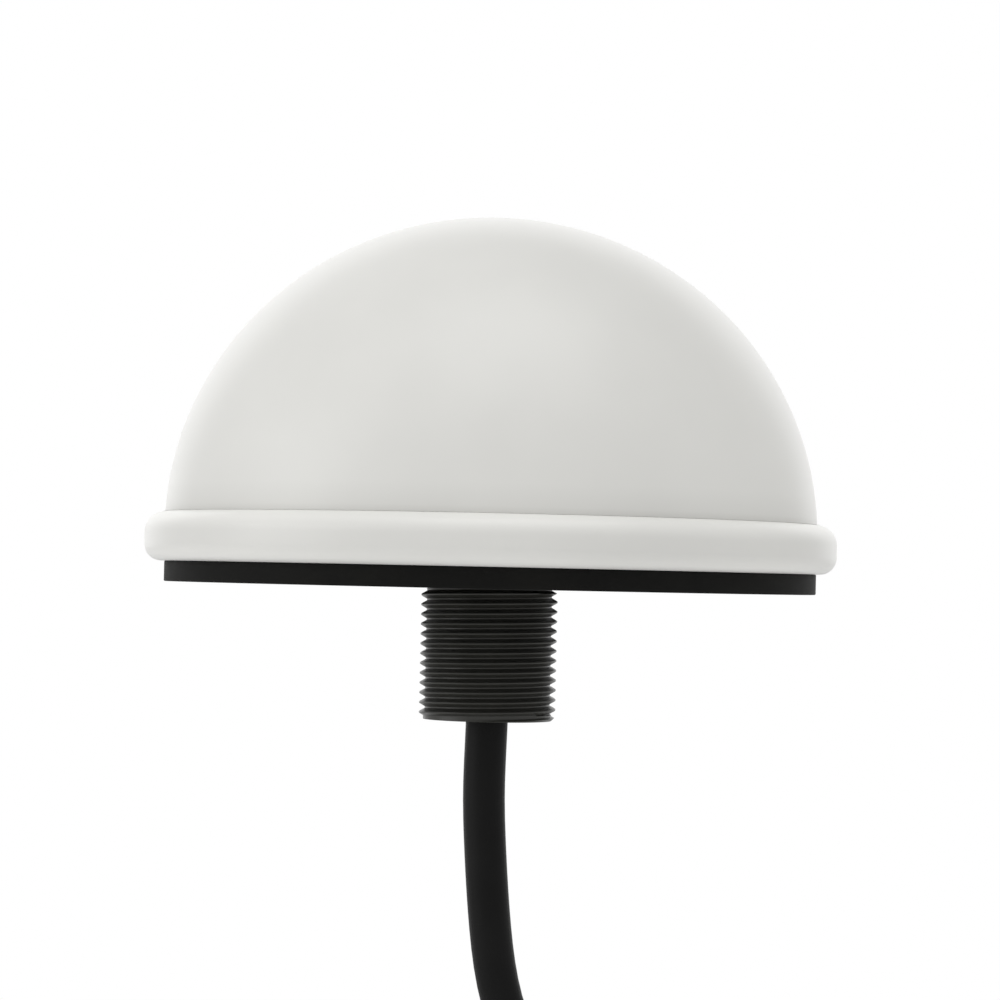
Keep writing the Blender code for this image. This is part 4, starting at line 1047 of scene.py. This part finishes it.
for colour, light, dark, name in (("black", (0.020, 0.020, 0.020), (0.014, 0.014, 0.014), "lead_ground"),
                                  ("red", (0.52, 0.025, 0.018), (0.42, 0.018, 0.014), "lead_power"),
                                  ("white", (0.74, 0.73, 0.70), (0.66, 0.65, 0.62), "lead_data_high"),
                                  ("blue", (0.025, 0.075, 0.40), (0.018, 0.055, 0.32), "lead_data_low")):
    dress(moulded(f"{colour}_insulation", light, dark, 0.4, 0.0004, 0.000004, 0.003), name)


# ---- Screws, standoffs and seal ----
# Stainless screws hold the base to the radome's bosses and the boards to turned brass standoffs. The seal
# is a cord ring of nitrile rubber in the base's groove.
dress(metal("stainless", (0.60, 0.59, 0.57), (0.47, 0.465, 0.45), 0.32, 0.0003, (1.0, 1.0, 4.0)),
      *[f"base_screw_{number}" for number in range(1, SCREW_COUNT + 1)],
      *[f"board_screw_{number}" for number in range(1, 5)])
dress(metal("turned_brass", (0.78, 0.58, 0.26), (0.64, 0.46, 0.19), 0.3, 0.0003, (0.2, 0.2, 8.0)),
      *[f"standoff_{number}" for number in range(1, 5)])
dress(moulded("nitrile_rubber", (0.012, 0.012, 0.012), (0.008, 0.008, 0.008), 0.55, 0.0002, 0.000008, 0.006),
      "radome_seal")


# ---- Patch aerials ----
# Two fired ceramic blocks stacked on the aerial board. Each has a printed silver electrode inside the edges
# of its upper and lower faces, and a tinned pin through it.
SILVER_MARGIN = 0.0022
SILVER_SKIN = 0.00005


def make_patch(name):
    """Fired ceramic, with silver on its level faces inside their edges."""
    low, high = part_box(name)
    middle, half = (low + high) / 2, (high - low) / 2
    material, tree, shader = shader_of(f"{name}_ceramic", 0.4)
    place = node_of(tree, "TexCoord")
    offset = node_of(tree, "VectorMath")
    offset.operation = "SUBTRACT"
    offset.inputs[1].default_value = middle
    folded = node_of(tree, "VectorMath")
    folded.operation = "ABSOLUTE"
    parts = node_of(tree, "SeparateXYZ")
    tree.links.new(place.outputs["Object"], offset.inputs[0])
    tree.links.new(offset.outputs["Vector"], folded.inputs[0])
    tree.links.new(folded.outputs["Vector"], parts.inputs["Vector"])
    silver = 1.0
    for axis, operation, limit in (("X", "LESS_THAN", half.x - SILVER_MARGIN),
                                   ("Y", "LESS_THAN", half.y - SILVER_MARGIN),
                                   ("Z", "GREATER_THAN", half.z - SILVER_SKIN)):
        silver = calc(tree, "MULTIPLY", silver, calc(tree, operation, parts.outputs[axis], limit))
    texture = add_grain(tree, 0.00025, 0.004)
    fired = add_shades(tree, texture.outputs["Patches"], (0.50, 0.43, 0.33), (0.64, 0.57, 0.45), 0.0, 1.0)
    printed = node_of(tree, "Mix")
    printed.data_type = "RGBA"
    printed.inputs["B"].default_value = (0.84, 0.83, 0.80, 1.0)
    tree.links.new(fired, printed.inputs["A"])
    tree.links.new(silver, printed.inputs["Factor"])
    tree.links.new(printed.outputs["Result"], shader.inputs["Base Color"])
    tree.links.new(silver, shader.inputs["Metallic"])
    add_bump(tree, shader, texture.outputs["Height"], 0.00001)
    return material


dress(make_patch("lower_patch"), "lower_patch")
dress(make_patch("upper_patch"), "upper_patch")
dress(metal("tinned_pin", (0.74, 0.73, 0.71), (0.62, 0.61, 0.59), 0.3, 0.0004),
      "feed_pin_lower", "feed_pin_upper")
dress(moulded("coax_jacket", (0.032, 0.032, 0.033), (0.022, 0.022, 0.023), 0.45, 0.0003, 0.000004, 0.004),
      "rf_jumper")
dress(metal("coax_gold", (0.84, 0.62, 0.28), (0.72, 0.51, 0.21), 0.24, 0.0003),
      "rf_plug_top", "rf_plug_bottom")


# ---- Cable entry ----
# A rubber grommet seals the cable in the stem's bore, and a stainless clamp on the cable above it takes
# the pull.
dress(moulded("grommet_rubber", (0.014, 0.014, 0.013), (0.009, 0.009, 0.0085), 0.62, 0.0002, 0.00001, 0.005),
      "stem_grommet")
dress(metal("clamp_steel", (0.62, 0.61, 0.59), (0.50, 0.49, 0.47), 0.3, 0.0003, (4.0, 4.0, 1.0)),
      "cable_clamp")
